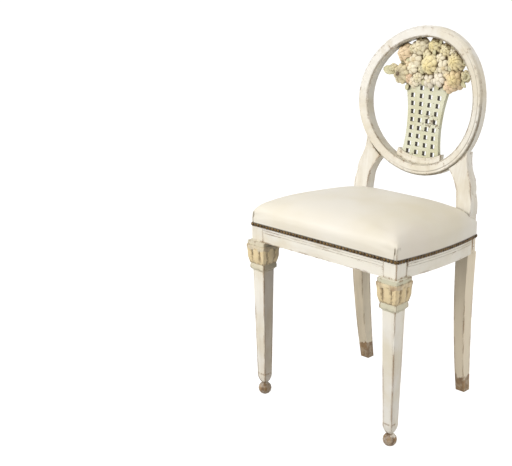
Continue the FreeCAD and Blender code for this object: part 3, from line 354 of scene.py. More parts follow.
def legPaint(name, front):
    finish = Finish(name)
    height = finish.axis("Z")
    colour = creamCoat(finish)
    if front:
        gold = finish.band(height, 0, legZones["gold"])
        streak = finish.noise(40, 3, 0.6, (1, 1, 0.2))
        goldTone = finish.mix(finish.step(streak, 0.4, 0.7), paint["capitalGold"], paint["bareWood"])
        colour = finish.mix(gold * 0.95, colour, goldTone)
        collar, abacus = (finish.band(height, 0, levels) for levels in legZones["green"])
        colour = finish.mix((collar + abacus) * 0.8, colour, paint["abacusGreen"])
    else:
        # painted shade: a warmer tint on the rear legs below the seat
        underSeatShadeShare = finish.step(height, *legZones["shade"], 0.6, 0.0)
        colour = finish.mix(underSeatShadeShare, colour, paint["underSeatShadeTint"])
    colour, rough, normal = wornPaint(finish, colour, 1.0 if front else 0.8, (1, 1, 0.12))
    reach = legZones["frontFoot" if front else "rearFoot"]
    ragged = height + (finish.noise(30, 5, 0.65) - 0.5) * legZones["ragged"]
    bare = finish.step(ragged, reach * 0.88, reach * 1.04, 1.0, 0.0)
    grain = finish.step(finish.noise(70, 4, 0.6, (1, 1, 0.15)), 0.3, 0.7)
    wood = finish.mix(grain, paint["footWood"], paint["darkWoodAndShade"])
    crust = finish.step(finish.noise(95, 4, 0.6, shift=(3, 0, 1)), 0.42, 0.6, 0.98, 0.7)
    colour = finish.mix(bare * crust, colour, wood)
    if front:
        # painted shade on the faces that look in under the seat
        side = finish.step(finish.axis("X"), -0.001, 0.001, 1, -1)
        inwardShade = finish.step(finish.facing("X") * side, 0.5, 0.8) * 0.5
    else:
        # painted shade on the rear legs' fronts below the seat
        low = finish.step(height, *legZones["shade"], 1.0, 0.0)
        inwardShade = finish.step(finish.facing("Y"), -0.85, -0.6, 1.0, 0.0) * low * 0.28
    shadeBreakup = finish.step(finish.noise(18, 4, 0.6, (1, 1, 0.2)), 0.3, 0.7, 0.75, 1.0)
    return finish.surface(finish.mix(inwardShade * shadeBreakup, colour, paint["inwardShadeTone"]), rough, normal)


# The patch on the basket where the paint has chipped most, and the reach of the painted shade in its
# holes
basketWear = {"height": 0.667, "across": 0.022, "reach": 0.034, "arris": 0.0014, "corner": 0.014}


def basketPaint(name):
    finish = Finish(name)
    tint = finish.step(finish.noise(16, 3), 0.35, 0.7)
    colour = finish.mix(tint, paint["sage"], paint["sageAged"])
    edge = finish.step(finish.arris(basketWear["arris"]), 0.02, 0.2)
    colour = finish.mix(edge * 0.55, colour, paint["sageEdge"])
    # painted shade in the basket's holes and corners
    colour = finish.cornerDirtAndShade(colour, paint["basketHoleShade"], 0.92, basketWear["corner"], 0.22, 0.42)
    middle = finish.axis("Z") - basketWear["height"]
    aside = finish.axis("X") - basketWear["across"]
    reach = (middle * middle + aside * aside) ** 0.5
    rubbed = finish.step(reach, basketWear["reach"] * 0.4, basketWear["reach"], 0.14, 0.0)
    chips = finish.step(finish.noise(120, 4, 0.7) + rubbed, 0.665, 0.68)
    colour = finish.mix(chips * 0.9, colour, paint["darkWoodAndShade"])
    height = finish.noise(120, 3) * 0.3 - chips
    return finish.surface(colour, 0.58, finish.bump(height, wear["relief"], wear["depth"]))


def petalPaint(name):
    finish = Finish(name)
    tone = finish.node("ShaderNodeAttribute", {"attribute_name": "petalTone"}, {}, output="Color")
    rubbed = finish.step(finish.noise(150, 4), 0.45, 0.75)
    colour = finish.mix(rubbed * 0.35, tone, paint["creamAged"])
    # painted shade in the crevices between petals and heads
    colour = finish.cornerDirtAndShade(colour, paint["petalCreviceShade"], 0.92, 0.012, 0.16, 0.6)
    stain = finish.step(finish.noise(240, 3, 0.7), 0.62, 0.72)
    colour = finish.mix(stain * 0.35, colour, paint["petalStain"])
    return finish.surface(colour, 0.55, finish.bump(finish.noise(260, 3), 0.2, 0.0004))


def capitalPaint(name):
    finish = Finish(name)
    streak = finish.noise(60, 4, 0.6, (1, 1, 0.15))
    colour = finish.mix(streak, paint["capitalGold"], paint["goldAged"])
    # painted shade, with dirt, in the carving's hollows
    colour = finish.cornerDirtAndShade(colour, paint["darkWoodAndShade"], 0.8, 0.0035, 0.3, 0.8)
    edge = finish.step(finish.arris(0.006), 0.03, 0.12)
    rub = finish.step(finish.noise(110, 3), 0.42, 0.6)
    colour = finish.mix(edge * rub * 0.6, colour, paint["darkWoodAndShade"])
    return finish.surface(colour, 0.5, finish.bump(streak, 0.3, 0.0005))


def creamLeather(name):
    finish = Finish(name)
    cloud = finish.step(finish.noise(5, 3, 0.5), 0.35, 0.72)
    colour = finish.mix(cloud, leather["pale"], leather["warm"])
    blush = finish.step(finish.noise(3.2, 2, 0.5, shift=(4, 1, 2)), 0.5, 0.75)
    colour = finish.mix(blush * 0.5, colour, leather["blush"])
    # painted shadow, with some grime, along the row of nails
    overNails = finish.axis("Z") - seatPlane(finish.axis("Y")) + seat["nailDrop"]
    near = finish.band(overNails, 0, hide["nailShade"])
    colour = finish.mix(near * 0.85, colour, leather["nailShadowAndGrime"])
    # painted shade: dark lines in the folds of the two pleats
    side = finish.axis("X")
    side = side.most(0.0 - side)
    pleatShade = finish.band(side, hide["pleatX"], hide["foldShade"])
    pleatShade = pleatShade.most(finish.band(side, hide["pleatX"], hide["besideShade"]) * 0.45)
    ahead = finish.step(finish.axis("Y"), seat["front"] + 0.012, seat["front"] + 0.016, 1.0, 0.0)
    lower = finish.step(finish.axis("Z"), hide["pleatTop"] - 0.006, hide["pleatTop"], 1.0, 0.0)
    colour = finish.mix(pleatShade * ahead * lower * 0.9, colour, leather["pleatShade"])
    pebble = finish.cells(hide["pebbles"], "F1")
    crease = finish.cells(hide["creases"], "DISTANCE_TO_EDGE")
    pull = finish.noise(14, 3, 0.5, (1, 1, 3))
    height = pebble * 0.25 + finish.step(crease, 0.0, 0.12) * 0.5 + pull * 1.2
    rough = finish.step(cloud, 0, 1, 0.42, 0.52)
    normal = finish.bump(height, 0.12, 0.0006)
    return finish.surface(colour, rough, normal, **{"Specular IOR Level": 0.42})


def agedBrass(name):
    finish = Finish(name)
    patch = finish.noise(160, 3)
    colour = finish.mix(finish.step(patch, 0.4, 0.65), metal["brass"], metal["brassDark"])
    # tarnish and painted shade round each dome's rim
    colour = finish.cornerDirtAndShade(colour, metal["brassRimTarnishAndShade"], 0.8, 0.003, 0.2, 0.8)
    return finish.surface(colour, 0.38, finish.bump(patch, 0.15, 0.0003), Metallic=0.85)


def bareBeech(name):
    finish = Finish(name)
    grain = finish.noise(90, 5, 0.6, (1, 1, 0.2), bend=0.4)
    colour = finish.mix(grain, beech["pale"], beech["dark"])
    pores = finish.step(finish.noise(900, 2, 0.5, (1, 0.1, 1)), 0.6, 0.7)
    colour = finish.mix(pores * 0.4, colour, beech["pore"])
    return finish.surface(colour, 0.7, finish.bump(grain + pores * 0.4, 0.25, 0.0004))


def dullSteel(name):
    finish = Finish(name)
    patch = finish.noise(400, 3)
    colour = finish.mix(patch, metal["steel"], metal["steelDark"])
    return finish.surface(colour, 0.45, finish.bump(patch, 0.1, 0.0002), Metallic=0.9)


def wovenCloth(name, light, dark, threads, depth):
    # plain weave: warp and weft threads that pass over and under each other
    finish = Finish(name)
    warp, weft = (
        finish.node("ShaderNodeTexWave", {"wave_profile": "SIN", "bands_direction": way},
                    {"Vector": finish.place, "Scale": threads, "Distortion": 0.6})
        for way in "XY"
    )
    check = finish.node(
        "ShaderNodeTexChecker", {}, {"Vector": finish.place, "Scale": threads * 3.2}, output="Fac"
    )
    weave = warp * check + weft * (1.0 - check)
    colour = finish.mix(weave, dark, light)
    colour = finish.mix(finish.noise(140, 3) * 0.4, colour, dark)
    return finish.surface(colour, 0.9, finish.bump(weave, 0.6, depth))


finishes = {
    "cream_paint": creamPaint("cream paint"),
    "ring_paint": ringPaint("cream paint on the round back"),
    "rail_paint": creamPaint("cream paint on rails", (0.15, 0.15, 1)),
    "front_leg": legPaint("cream paint on front legs", True),
    "rear_leg": legPaint("cream paint on rear legs", False),
    "basket_paint": basketPaint("sage paint"),
    "flower_paint": petalPaint("flower paint"),
    "capital_paint": capitalPaint("capital gold paint"),
    "cream_leather": creamLeather("cream leather"),
    "aged_brass": agedBrass("aged brass"),
    "bare_beech": bareBeech("bare beech"),
    "screw_steel": dullSteel("screw steel"),
    "jute_webbing": wovenCloth("jute webbing", srgb(176, 146, 98), srgb(116, 90, 54), 110, 0.001),
    "hessian_cloth": wovenCloth("hessian", srgb(184, 158, 112), srgb(122, 98, 62), 160, 0.0008),
    "seat_stuffing": wovenCloth("stuffing", srgb(214, 206, 188), srgb(170, 160, 140), 60, 0.001),
    "dust_cloth": wovenCloth("dust cloth", srgb(52, 50, 48), srgb(24, 23, 22), 260, 0.0004),
}


slotOf = {part["node"]: part["material_slot"] for part in frame["record"]["subparts"]}
for name, thing in nodes.items():
    key = slotOf[name]
    if "leg_" in name:
        key = "front_leg" if name.startswith("front") else "rear_leg"
    elif "rail" in name:
        key = "rail_paint"
    elif name.startswith("ring_") and key == "cream_paint":
        key = "ring_paint"
    thing.data.materials.clear()
    thing.data.materials.append(finishes[key])
print("finishes made", len(finishes))


# Helpers for the pieces
def newPiece(name, mesh, key, slot, *replaced):
    # turns a bmesh into a piece that rides on the chair
    data = bpy.data.meshes.new(name)
    mesh.to_mesh(data)
    mesh.free()
    thing = bpy.data.objects.new(name, data)
    bpy.context.scene.collection.objects.link(thing)
    data.materials.append(finishes[key])
    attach(thing, "root")
    if replaced:
        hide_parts(*replaced)
    return thing


def dropLoose(mesh):
    loose = [vert for vert in mesh.verts if not vert.link_faces]
    bmesh.ops.delete(mesh, geom=loose, context="VERTS")


def smoothShade(thing):
    for face in thing.data.polygons:
        face.use_smooth = True


def giveThickness(thing, thickness, offset=0):
    shell = thing.modifiers.new("thickness", "SOLIDIFY")
    shell.thickness = thickness
    shell.offset = offset


def roundOff(thing):
    soft = thing.modifiers.new("soft", "SUBSURF")
    soft.levels = 1
    soft.render_levels = 1


# Carved bouquet
leafShape = {
    "across": 4, "along": 5, "lean": 10, "curl": -30, "thickness": 0.0026, "cup": 0.3, "rib": 0.12,
}
headShape = {
    "rings": 20, "spokes": 64, "swell": 1.2, "dome": 0.34, "sink": {"rose": 0.62}, "sinkElse": 0.5,
    "skirtReach": 0.84, "skirtDrop": 0.45, "heart": 0.24, "back": -0.019, "clear": 0.002,
    "middle": 0.088, "leanUp": 2.4, "leanAside": 2.2, "lobe": 0.15, "round": 0.15,
    "groove": 0.16, "shade": 0.5,
}
tones = {
    "butter": srgb(238, 228, 186), "yellow": srgb(230, 212, 150), "peach": srgb(236, 212, 176),
    "pink": srgb(222, 190, 158), "ivory": srgb(238, 230, 206), "lilac": srgb(232, 224, 208),
    "green": srgb(210, 205, 168), "moss": srgb(180, 174, 134), "ochre": srgb(204, 180, 128),
    "dark": srgb(92, 74, 52), "grooveShadeTone": srgb(118, 94, 56), "straw": srgb(234, 222, 184),
}
# rows of petals from the outside in: how many, how far they reach and how high they stand
petalRows = {
    "rose": ((7, 1.0, 0.0), (6, 0.70, 0.18), (4, 0.40, 0.34)),
    "peony": ((11, 1.0, 0.0), (9, 0.77, 0.14), (7, 0.52, 0.27), (3, 0.27, 0.38)),
    "daisy": ((8, 1.0, 0.0), (7, 0.62, 0.08), (1, 0.25, 0.0)),
    "floret": ((5, 1.0, 0.0), (1, 0.3, 0.12)),
}


def petalEdge(lobe):
    return 1 - headShape["lobe"] + headShape["lobe"] * lobe ** 0.7


def petalHeight(rows, phases, reach, angle):
    # the highest petal over one spot, its row, and how clear it lies of the grooves around it and of
    # the painted shadow of the rows inside it
    best = (-0.2, 0, 1)
    shadow = 1
    for row, ((count, outer, rise), phase) in enumerate(zip(rows, phases)):
        lobe = abs(math.cos(count * (angle - phase) / 2))
        edge = outer * petalEdge(lobe)
        if reach <= edge + 1e-6:
            inside = reach / edge
            height = rise + headShape["round"] * (1 - inside ** 5)
            height -= headShape["groove"] * (1 - lobe) ** 2 * inside
            best = max(best, (height, row, min(1, 0.45 + lobe * 1.8)))
        # painted shadow just outside an inner row's edge
        elif row:
            shadow = min(shadow, headShape["shade"] + (reach - edge) * 5)
    return best[0], best[1], best[2] * shadow


def headPlace(x, y, front, rng):
    # heads near the rim look away from the bouquet's middle
    up = rng.uniform(-0.12, 0.12) - (y - headShape["middle"]) * headShape["leanUp"]
    aside = rng.uniform(-0.1, 0.1) + x * headShape["leanAside"]
    lean = Matrix.Rotation(up, 4, "X") @ Matrix.Rotation(aside, 4, "Y")
    return Matrix.Translation((x, y, front)) @ lean


def petalTone(kind, share, row, rowCount, clear, heart, rim):
    # the colour of one spot: from the heart to the rim, with brown painted shade in the grooves and
    # under the inner rows
    blend = min(1, (1 - row / rowCount) * 0.55 + share * 0.5)
    if kind == "daisy" and share < headShape["heart"]:
        blend = 0
    tone = [a + (b - a) * blend for a, b in zip(heart, rim)]
    grooveShade = 1 - min(clear * 1.15, 1)
    return [a + (b - a) * grooveShade for a, b in zip(tone, tones["grooveShadeTone"])]


def carveHead(mesh, kind, x, y, radius, front, heart, rim, rng):
    # a flower head as a carver cuts it: a dome of stepped rows of rounded petals
    rows = petalRows[kind]
    phases = [rng.uniform(0, 6.28) for row in rows]
    layer = mesh.verts.layers.float_color["petalTone"]
    place = headPlace(x, y, front, rng)
    sink = headShape["sink"].get(kind, headShape["sinkElse"])
    shade = rng.uniform(0.94, 1.04)
    rings = []
    for ring in range(headShape["rings"] + 2):
        share = min(ring / headShape["rings"], 1)
        verts = []
        for spoke in range(headShape["spokes"]):
            angle = 2 * math.pi * spoke / headShape["spokes"]
            lobe = abs(math.cos(rows[0][0] * (angle - phases[0]) / 2))
            reach = share * petalEdge(lobe)
            height, row, clear = petalHeight(rows, phases, reach * 0.999, angle)
            height += headShape["dome"] * (1 - share * share) - sink
            if ring > headShape["rings"]:
                reach *= headShape["skirtReach"]
                height -= headShape["skirtDrop"]
            spot = Vector((math.cos(angle) * reach, math.sin(angle) * reach, height)) * radius
            spot = place @ spot
            spot.z = max(spot.z, headShape["back"] + headShape["clear"])
            vert = mesh.verts.new(spot)
            tone = petalTone(kind, share, row, len(rows), clear, heart, rim)
            vert[layer] = (*(part * shade for part in tone[:3]), 1)
            verts.append(vert)
        rings.append(verts)
    for inner, outer in zip(rings, rings[1:]):
        for spoke in range(headShape["spokes"]):
            mesh.faces.new((inner[spoke - 1], outer[spoke - 1], outer[spoke], inner[spoke]))
    mesh.faces.new(rings[-1][::-1])


def leafGrid(mesh, shape):
    # vertices of a grid with their places across, from -1 to 1, and along, from 0 to 1
    made = bmesh.ops.create_grid(
        mesh, x_segments=shape["across"], y_segments=shape["along"], size=0.5
    )["verts"]
    return [(vert, vert.co.x * 2, vert.co.y + 0.5) for vert in made]


def addLeaf(mesh, x, y, length, width, turn, front, rng):
    # one carved leaf: a grid bent along its length, cupped across, with a raised middle rib
    layer = mesh.verts.layers.float_color["petalTone"]
    lean = math.radians(leafShape["lean"] + rng.uniform(-5, 5))
    curl = math.radians(leafShape["curl"])
    place = Matrix.Translation((x, y, front)) @ Matrix.Rotation(turn, 4, "Z")
    shade = rng.uniform(0.9, 1.05)
    for vert, side, along in leafGrid(mesh, leafShape):
        half = width / 2 * math.sin(math.pi * (0.12 + 0.84 * along)) ** 0.8
        angle = lean + curl * along
        out = length * (math.sin(angle) - math.sin(lean)) / curl
        up = length * (math.cos(lean) - math.cos(angle)) / curl
        lift = leafShape["cup"] * side * side + leafShape["rib"] * (1 - min(abs(side) * 2, 1))
        vert.co = place @ Vector((side * half, out, up + lift * half))
        tone = [a + (b - a) * along for a, b in zip(tones["moss"], tones["green"])]
        vert[layer] = (*(part * shade for part in tone[:3]), 1)


def toneMesh():
    mesh = bmesh.new()
    mesh.verts.layers.float_color.new("petalTone")
    return mesh


def finishCarving(name, mesh, *replaced):
    # bent to the hollowed back and stood up in its place
    for vert in mesh.verts:
        vert.co.z += hollow(vert.co.x)
    bmesh.ops.transform(mesh, matrix=ringMatrix, verts=mesh.verts)
    bmesh.ops.recalc_face_normals(mesh, faces=mesh.faces)
    thing = newPiece(name, mesh, "flower_paint", "flower_paint", *replaced)
    smoothShade(thing)
    return thing


# kind, x, y, radius, front, heart and rim, in millimetres about the ring's middle
heads = (
    ("rose", 6.8, 86.3, 27, 16, "yellow", "butter"),
    ("rose", -31, 126.5, 23, 12, "straw", "ivory"),
    ("rose", 8.6, 134, 18.5, 10, "yellow", "butter"),
    ("rose", 47.5, 129, 18, 9, "butter", "straw"),
    ("peony", 80.5, 102.5, 22.5, 13, "yellow", "straw"),
    ("rose", 82, 59.5, 25, 13.5, "yellow", "peach"),
    ("rose", -75, 108.5, 22, 12, "peach", "peach"),
    ("daisy", -77.5, 58.5, 21.5, 12, "dark", "straw"),
    ("floret", -38.4, 95.3, 16.5, 13, "ochre", "ivory"),
    ("floret", -46, 74.7, 14.5, 12, "straw", "ivory"),
    ("rose", -26.7, 54.4, 15.5, 11, "butter", "ivory"),
    ("floret", 36, 57.2, 16.5, 12, "ivory", "lilac"),
    ("floret", 49.6, 83.9, 16, 13, "ochre", "ivory"),
    ("floret", -41.2, 41.2, 14, 8, "peach", "ivory"),
    ("floret", 8.4, 50.3, 16, 9, "straw", "lilac"),
    ("floret", 66, 39.5, 14.5, 8, "pink", "peach"),
    ("floret", -54.5, 50.6, 12, 8, "peach", "pink"),
    ("floret", 67, 122, 11, 6, "straw", "ivory"),
    ("floret", -20, 76, 12, 8, "straw", "green"),
    ("floret", 32, 106, 12.5, 9, "straw", "ivory"),
    ("floret", -10, 110, 12, 8, "green", "straw"),
    ("floret", -54, 120, 11, 6, "green", "straw"),
    ("floret", 60, 70, 11, 9, "peach", "straw"),
    ("floret", 28, 74, 10.5, 8, "green", "ivory"),
    ("floret", -58, 88, 12.5, 8, "straw", "peach"),
    ("rose", -106, 68, 12, 3, "green", "straw"),
    ("rose", 112, 70, 13, 4, "moss", "straw"),
)
# x, y, length, width and front in millimetres, with the turn in radians before the front
leaves = (
    (-92, 64, 38, 24, 1.5, -2), (98, 66, 30, 23, -1.35, -2),
    (-64, 112, 20, 13, 0.9, 2), (-28, 138, 14, 10, 0.4, 0),
    (26, 138, 14, 10, -0.3, 0), (60, 128, 17, 12, -0.6, 0), (94, 98, 18, 12, -1.1, 0),
    (-66, 66, 16, 11, 2.0, 3), (60, 46, 18, 11, 2.5, 1), (-54, 36, 16, 11, 2.9, 0),
    (30, 46, 16, 11, 3.4, 1), (-8, 52, 16, 12, 3.0, 2), (100, 58, 20, 13, -2.3, -2),
    (18, 112, 15, 10, 0.3, 6), (-52, 98, 14, 9, 2.4, 7), (62, 88, 14, 9, -2.4, 7),
)
bouquetGround = {
    "middle": 91, "across": 82, "up": 45, "back": -20, "front": -2, "segments": 48,
    "cuts": (-60, -40, -20, 0, 20, 40, 60),
}


def buildGround():
    # the wood that the carver leaves behind the flowers
    names = ("middle", "across", "up", "back", "front")
    ground = {name: bouquetGround[name] * millimetre for name in names}
    mesh = toneMesh()
    layer = mesh.verts.layers.float_color["petalTone"]
    made = bmesh.ops.create_cone(
        mesh, cap_ends=True, cap_tris=False, segments=bouquetGround["segments"],
        radius1=ground["across"], radius2=ground["across"], depth=ground["front"] - ground["back"],
    )["verts"]
    for vert in made:
        vert[layer] = tones["moss"]
        vert.co.y = vert.co.y * ground["up"] / ground["across"] + ground["middle"]
        vert.co.z += (ground["front"] + ground["back"]) / 2
    # cut across, so that it can follow the hollow of the back
    for place in bouquetGround["cuts"]:
        bmesh.ops.bisect_plane(
            mesh, geom=[*mesh.verts, *mesh.edges, *mesh.faces], dist=1e-6,
            plane_co=(place * millimetre, 0, 0), plane_no=(1, 0, 0),
        )
    finishCarving("bouquet_ground", mesh)


def buildBouquet():
    rng = random.Random(5)
    mesh = toneMesh()
    for kind, x, y, radius, front, heart, rim in heads:
        carveHead(mesh, kind, x * millimetre, y * millimetre,
                  radius * millimetre * headShape["swell"], front * millimetre, tones[heart],
                  tones[rim], rng)
    finishCarving("carved_flowers", mesh, "flower_bouquet")
    mesh = toneMesh()
    for x, y, length, width, turn, front in leaves:
        addLeaf(mesh, x * millimetre, y * millimetre, length * millimetre, width * millimetre, turn,
                front * millimetre, rng)
    thing = finishCarving("carved_leaves", mesh)
    giveThickness(thing, leafShape["thickness"])
    roundOff(thing)
    buildGround()


buildBouquet()
print("bouquet carved")


# Leather cushion: one hide drawn over the stuffing and down to the nails
# Its grid: steps behind the front edge in millimetres, gap between rows, shares along the posts,
# columns inside the posts, across them and outside, and the columns that the posts stand in
hideGrid = {
    "frontSteps": (0, 1, 2.6, 5, 8.5, 13, 18), "rowGap": 0.0065,
    "postShares": (0.16, 0.33, 0.5, 0.66, 0.82, 0.93, 1), "innerCount": 22, "acrossCount": 6,
    "outerShares": (0.5, 0.82, 1), "innerShare": 0.784, "outerShare": 0.975, "nearCorner": 0.0012,
    "slotStart": 3, "slotEnd": 10, "besidePost": 0.00015,
}
hidePress = {
    "quality": 6, "mass": 0.3, "tension_stiffness": 30, "compression_stiffness": 30,
    "shear_stiffness": 12, "bending_stiffness": 1.5, "use_pressure": True,
    "uniform_pressure_force": 4, "vertex_group_mass": "held",
}
pressFrames = 20


def seatHalf(y, outset):
    # half the seat's width at a place between front and back, moved out by outset
    start = seat["back"] - seat["rearCorner"]
    if y <= seat["knee"]:
        into = max(y - seat["front"] + outset, 0)
        radius = seat["frontCorner"]
        short = radius - math.sqrt(radius ** 2 - max(radius - into, 0) ** 2)
        return seat["frontHalf"] + outset - short
    if y <= start:
        share = (y - seat["knee"]) / (start - seat["knee"])
        middle = seat["frontHalf"] + (seat["rearHalf"] - seat["frontHalf"]) * share
        return middle + outset + seat["bow"] * 4 * share * (1 - share)
    radius = seat["rearCorner"] + outset
    up = min(y - start, radius)
    return seat["rearHalf"] - seat["rearCorner"] + math.sqrt(radius ** 2 - up ** 2)


def evenly(start, end, count):
    return [start + (end - start) * index / count for index in range(count + 1)]


def bothSides(half):
    # places on both sides of the middle from those on one side of it
    return [-x for x in half[:0:-1]] + half


def hideRows():
    # places from front to back: close at the rolled edge and round the posts
    front = seat["front"] - seat["skin"]
    rows = [front + step * millimetre for step in hideGrid["frontSteps"]]
    count = round((seat["postFront"] - rows[-1]) / hideGrid["rowGap"])
    gap = (seat["postFront"] - rows[-1]) / count
    rows += [rows[-1] + gap * (index + 1) for index in range(count)]
    room = seat["postBack"] - seat["postFront"]
    rows += [seat["postFront"] + room * share for share in hideGrid["postShares"]]
    return rows + [seat["back"] + seat["skin"]]


def hideColumns(y, last):
    # places across, so that some lines run along both sides of the posts
    edge = seatHalf(y, seat["skin"])
    blend = (y - seat["blendFrom"]) / (seat["postFront"] - seat["blendFrom"])
    blend = max(0, min(1, blend))
    inner = edge * hideGrid["innerShare"] * (1 - blend) + seat["postInner"] * blend
    outerPost = min(seat["postOuter"], seatHalf(y, hideGrid["besidePost"]))
    outer = edge * hideGrid["outerShare"] * (1 - blend) + outerPost * blend
    if last:
        outer = edge - hideGrid["nearCorner"]
    half = evenly(0, inner, hideGrid["innerCount"])
    half += evenly(inner, outer, hideGrid["acrossCount"])[1:]
    half += [outer + (edge - outer) * share for share in hideGrid["outerShares"]]
    return bothSides(half)


def hideHeight(x, y):
    # height over the rails' plane: a rolled edge, a broad crown and a more level rear
    depths = (
        y - seat["front"] + seat["skin"], seat["back"] + seat["skin"] - y,
        seatHalf(y, seat["skin"]) - abs(x),
    )
    roll = 1
    crown = 1
    for depth in depths:
        depth = max(depth, 0)
        roll *= math.sqrt(1 - (1 - min(depth / hide["roll"], 1)) ** 2)
        crown *= 1 - (1 - min(depth / hide["crownReach"], 1)) ** 2.2
    share = (y - seat["front"]) / (seat["back"] - seat["front"])
    lift = hide["rearLift"] * share * (0.2 + 0.8 * crown)
    return hide["edge"] + hide["shoulder"] * roll + hide["crown"] * crown + lift


def hugPosts(grid, rows):
    # the posts lean back, so the hide is drawn close to them in front and outside
    start, end = hideGrid["slotStart"], hideGrid["slotEnd"]
    across = len(grid[0]) - 1
    besidePost = [y > seat["postFront"] - 1e-6 for y in rows[:-1]]
    ahead = grid[besidePost.index(True)]
    for vert in ahead[start:end + 1] + ahead[across - end:across - start + 1]:
        vert.co.y += hide["hugFront"]
    for line, beside in zip(grid, besidePost):
        if beside:
            line[start].co.x += hide["hugOuter"]
            line[across - start].co.x -= hide["hugOuter"]


def hideMesh():
    mesh = bmesh.new()
    rows = hideRows()
    grid = []
    for index, y in enumerate(rows):
        columns = hideColumns(y, index == len(rows) - 1)
        grid.append([mesh.verts.new((x, y, seatPlane(y) + hideHeight(x, y))) for x in columns])
    hugPosts(grid, rows)
    across = len(grid[0]) - 1
    for row, (near, far) in enumerate(zip(grid, grid[1:])):
        posts = seat["postFront"] - 1e-6 <= rows[row] < seat["postBack"] - 1e-6
        for column in range(across):
            place = min(column, across - 1 - column)
            if posts and hideGrid["slotStart"] <= place < hideGrid["slotEnd"]:
                continue
            mesh.faces.new((near[column], near[column + 1], far[column + 1], far[column]))
    rim = grid[0] + [line[-1] for line in grid[1:-1]] + grid[-1][::-1]
    rim += [line[0] for line in grid[-2:0:-1]]
    slots = [edge for edge in mesh.edges if edge.is_boundary and not (
        edge.verts[0] in rim and edge.verts[1] in rim)]
    skirt = bmesh.ops.extrude_edge_only(mesh, edges=slots)["geom"]
    for vert in skirt:
        if isinstance(vert, bmesh.types.BMVert):
            vert.co.z -= hide["flange"]
    above = rim
    for level in hide["levels"]:
        below = []
        for vert in rim:
            low = seatPlane(vert.co.y) + level * millimetre
            below.append(mesh.verts.new((vert.co.x, vert.co.y, low)))
        for index in range(len(rim)):
            mesh.faces.new((above[index - 1], below[index - 1], below[index], above[index]))
        above = below
    dropLoose(mesh)
    bmesh.ops.recalc_face_normals(mesh, faces=mesh.faces)
    return mesh


def swellHide(thing):
    # the stuffing presses the hide out; it stays held at the nails and round the posts
    start = [vert.co.copy() for vert in thing.data.vertices]
    beside = [[] for vert in start]
    for edge in thing.data.edges:
        first, second = edge.vertices
        beside[first].append(second)
        beside[second].append(first)
    held = thing.vertex_groups.new(name="held")
    for vert in thing.data.vertices:
        low = vert.co.z - seatPlane(vert.co.y)
        byPost = vert.co.y > seat["postFront"] - 0.002
        byPost = byPost and abs(vert.co.x) > seat["postInner"] - hide["heldBeside"]
        share = 1.0 if low < hide["heldBelow"] or byPost else 0.0
        held.add([vert.index], share, "REPLACE")
    cloth = thing.modifiers.new("swell", "CLOTH")
    for setting, value in hidePress.items():
        setattr(cloth.settings, setting, value)
    cloth.settings.effector_weights.gravity = 0
    cloth.collision_settings.use_collision = False
    scene = bpy.context.scene
    for step in range(1, pressFrames + 1):
        scene.frame_set(step)
    settled = thing.evaluated_get(bpy.context.evaluated_depsgraph_get()).data
    moved = [vert.co.copy() for vert in settled.vertices]
    thing.modifiers.remove(cloth)
    scene.frame_set(1)
    ways = []
    for old, new in zip(start, moved):
        way = new - old
        ways.append(way.normalized() * min(way.length, hide["cap"]))
    # leather is too stiff for small ripples
    for turn in range(hide["ease"]):
        ways = [
            (way + sum((ways[other] for other in near), Vector()) / len(near)) / 2
            for way, near in zip(ways, beside)
        ]
    for vert, old, way in zip(thing.data.vertices, start, ways):
        vert.co = old + way


def foldPleats(thing):
    # the hide is folded once at each front corner, from the nails up to the rolled edge
    mesh = bmesh.new()
    mesh.from_mesh(thing.data)
    behind = seat["front"] + hide["pleatReach"] + 0.002
    for shift in hide["pleatCuts"]:
        for sign in (-1, 1):
            cut = sign * (hide["pleatX"] + shift)
            faces = [face for face in mesh.faces if face.calc_center_median().y < behind]
            edges = dict.fromkeys(edge for face in faces for edge in face.edges)
            verts = dict.fromkeys(vert for face in faces for vert in face.verts)
            bmesh.ops.bisect_plane(
                mesh, geom=[*faces, *edges, *verts], dist=1e-5, plane_co=(cut, 0, 0),
                plane_no=(1, 0, 0),
            )
    low = seat["railTop"] - seat["nailDrop"] - 0.004
    for vert in mesh.verts:
        spot = vert.co
        if spot.y > seat["front"] + hide["pleatReach"] or not low <= spot.z <= hide["pleatTop"]:
            continue
        beside = abs(spot.x) - hide["pleatX"]
        up = (spot.z - low) / (hide["pleatTop"] - low)
        depth = hide["pleatDepth"] * math.sin(math.pi * (0.15 + 0.8 * up)) ** 0.7
        if abs(beside) < hide["foldHalf"]:
            spot.y += depth * (1 - abs(beside) / hide["foldFade"])
        elif 0 < beside < hide["puffEnd"]:
            swell = math.sin(math.pi * (beside - hide["puffStart"]) / hide["puffWidth"])
            spot.y -= depth * hide["puff"] * swell
    mesh.to_mesh(thing.data)
    mesh.free()


def buildCushion():
    thing = newPiece("seat_hide", hideMesh(), "cream_leather", "cream_leather", "leather_cover",
                     "seat_padding")
    swellHide(thing)
    foldPleats(thing)
    smoothShade(thing)
    giveThickness(thing, hide["thickness"], -1)
    roundOff(thing)


buildCushion()
print("cushion drawn")

# Dust cover under the frame, cut out round the legs: it sags a little in the middle
cover = {
    "margin": 0.006, "legFront": 0.1709, "legRear": 0.1444, "frontLine": -0.1594,
    "rearLine": 0.1234, "below": 0.0005, "sag": 0.003, "thickness": 0.0005, "rows": 32,
    "columns": 18, "besideLeg": 0.004,
}


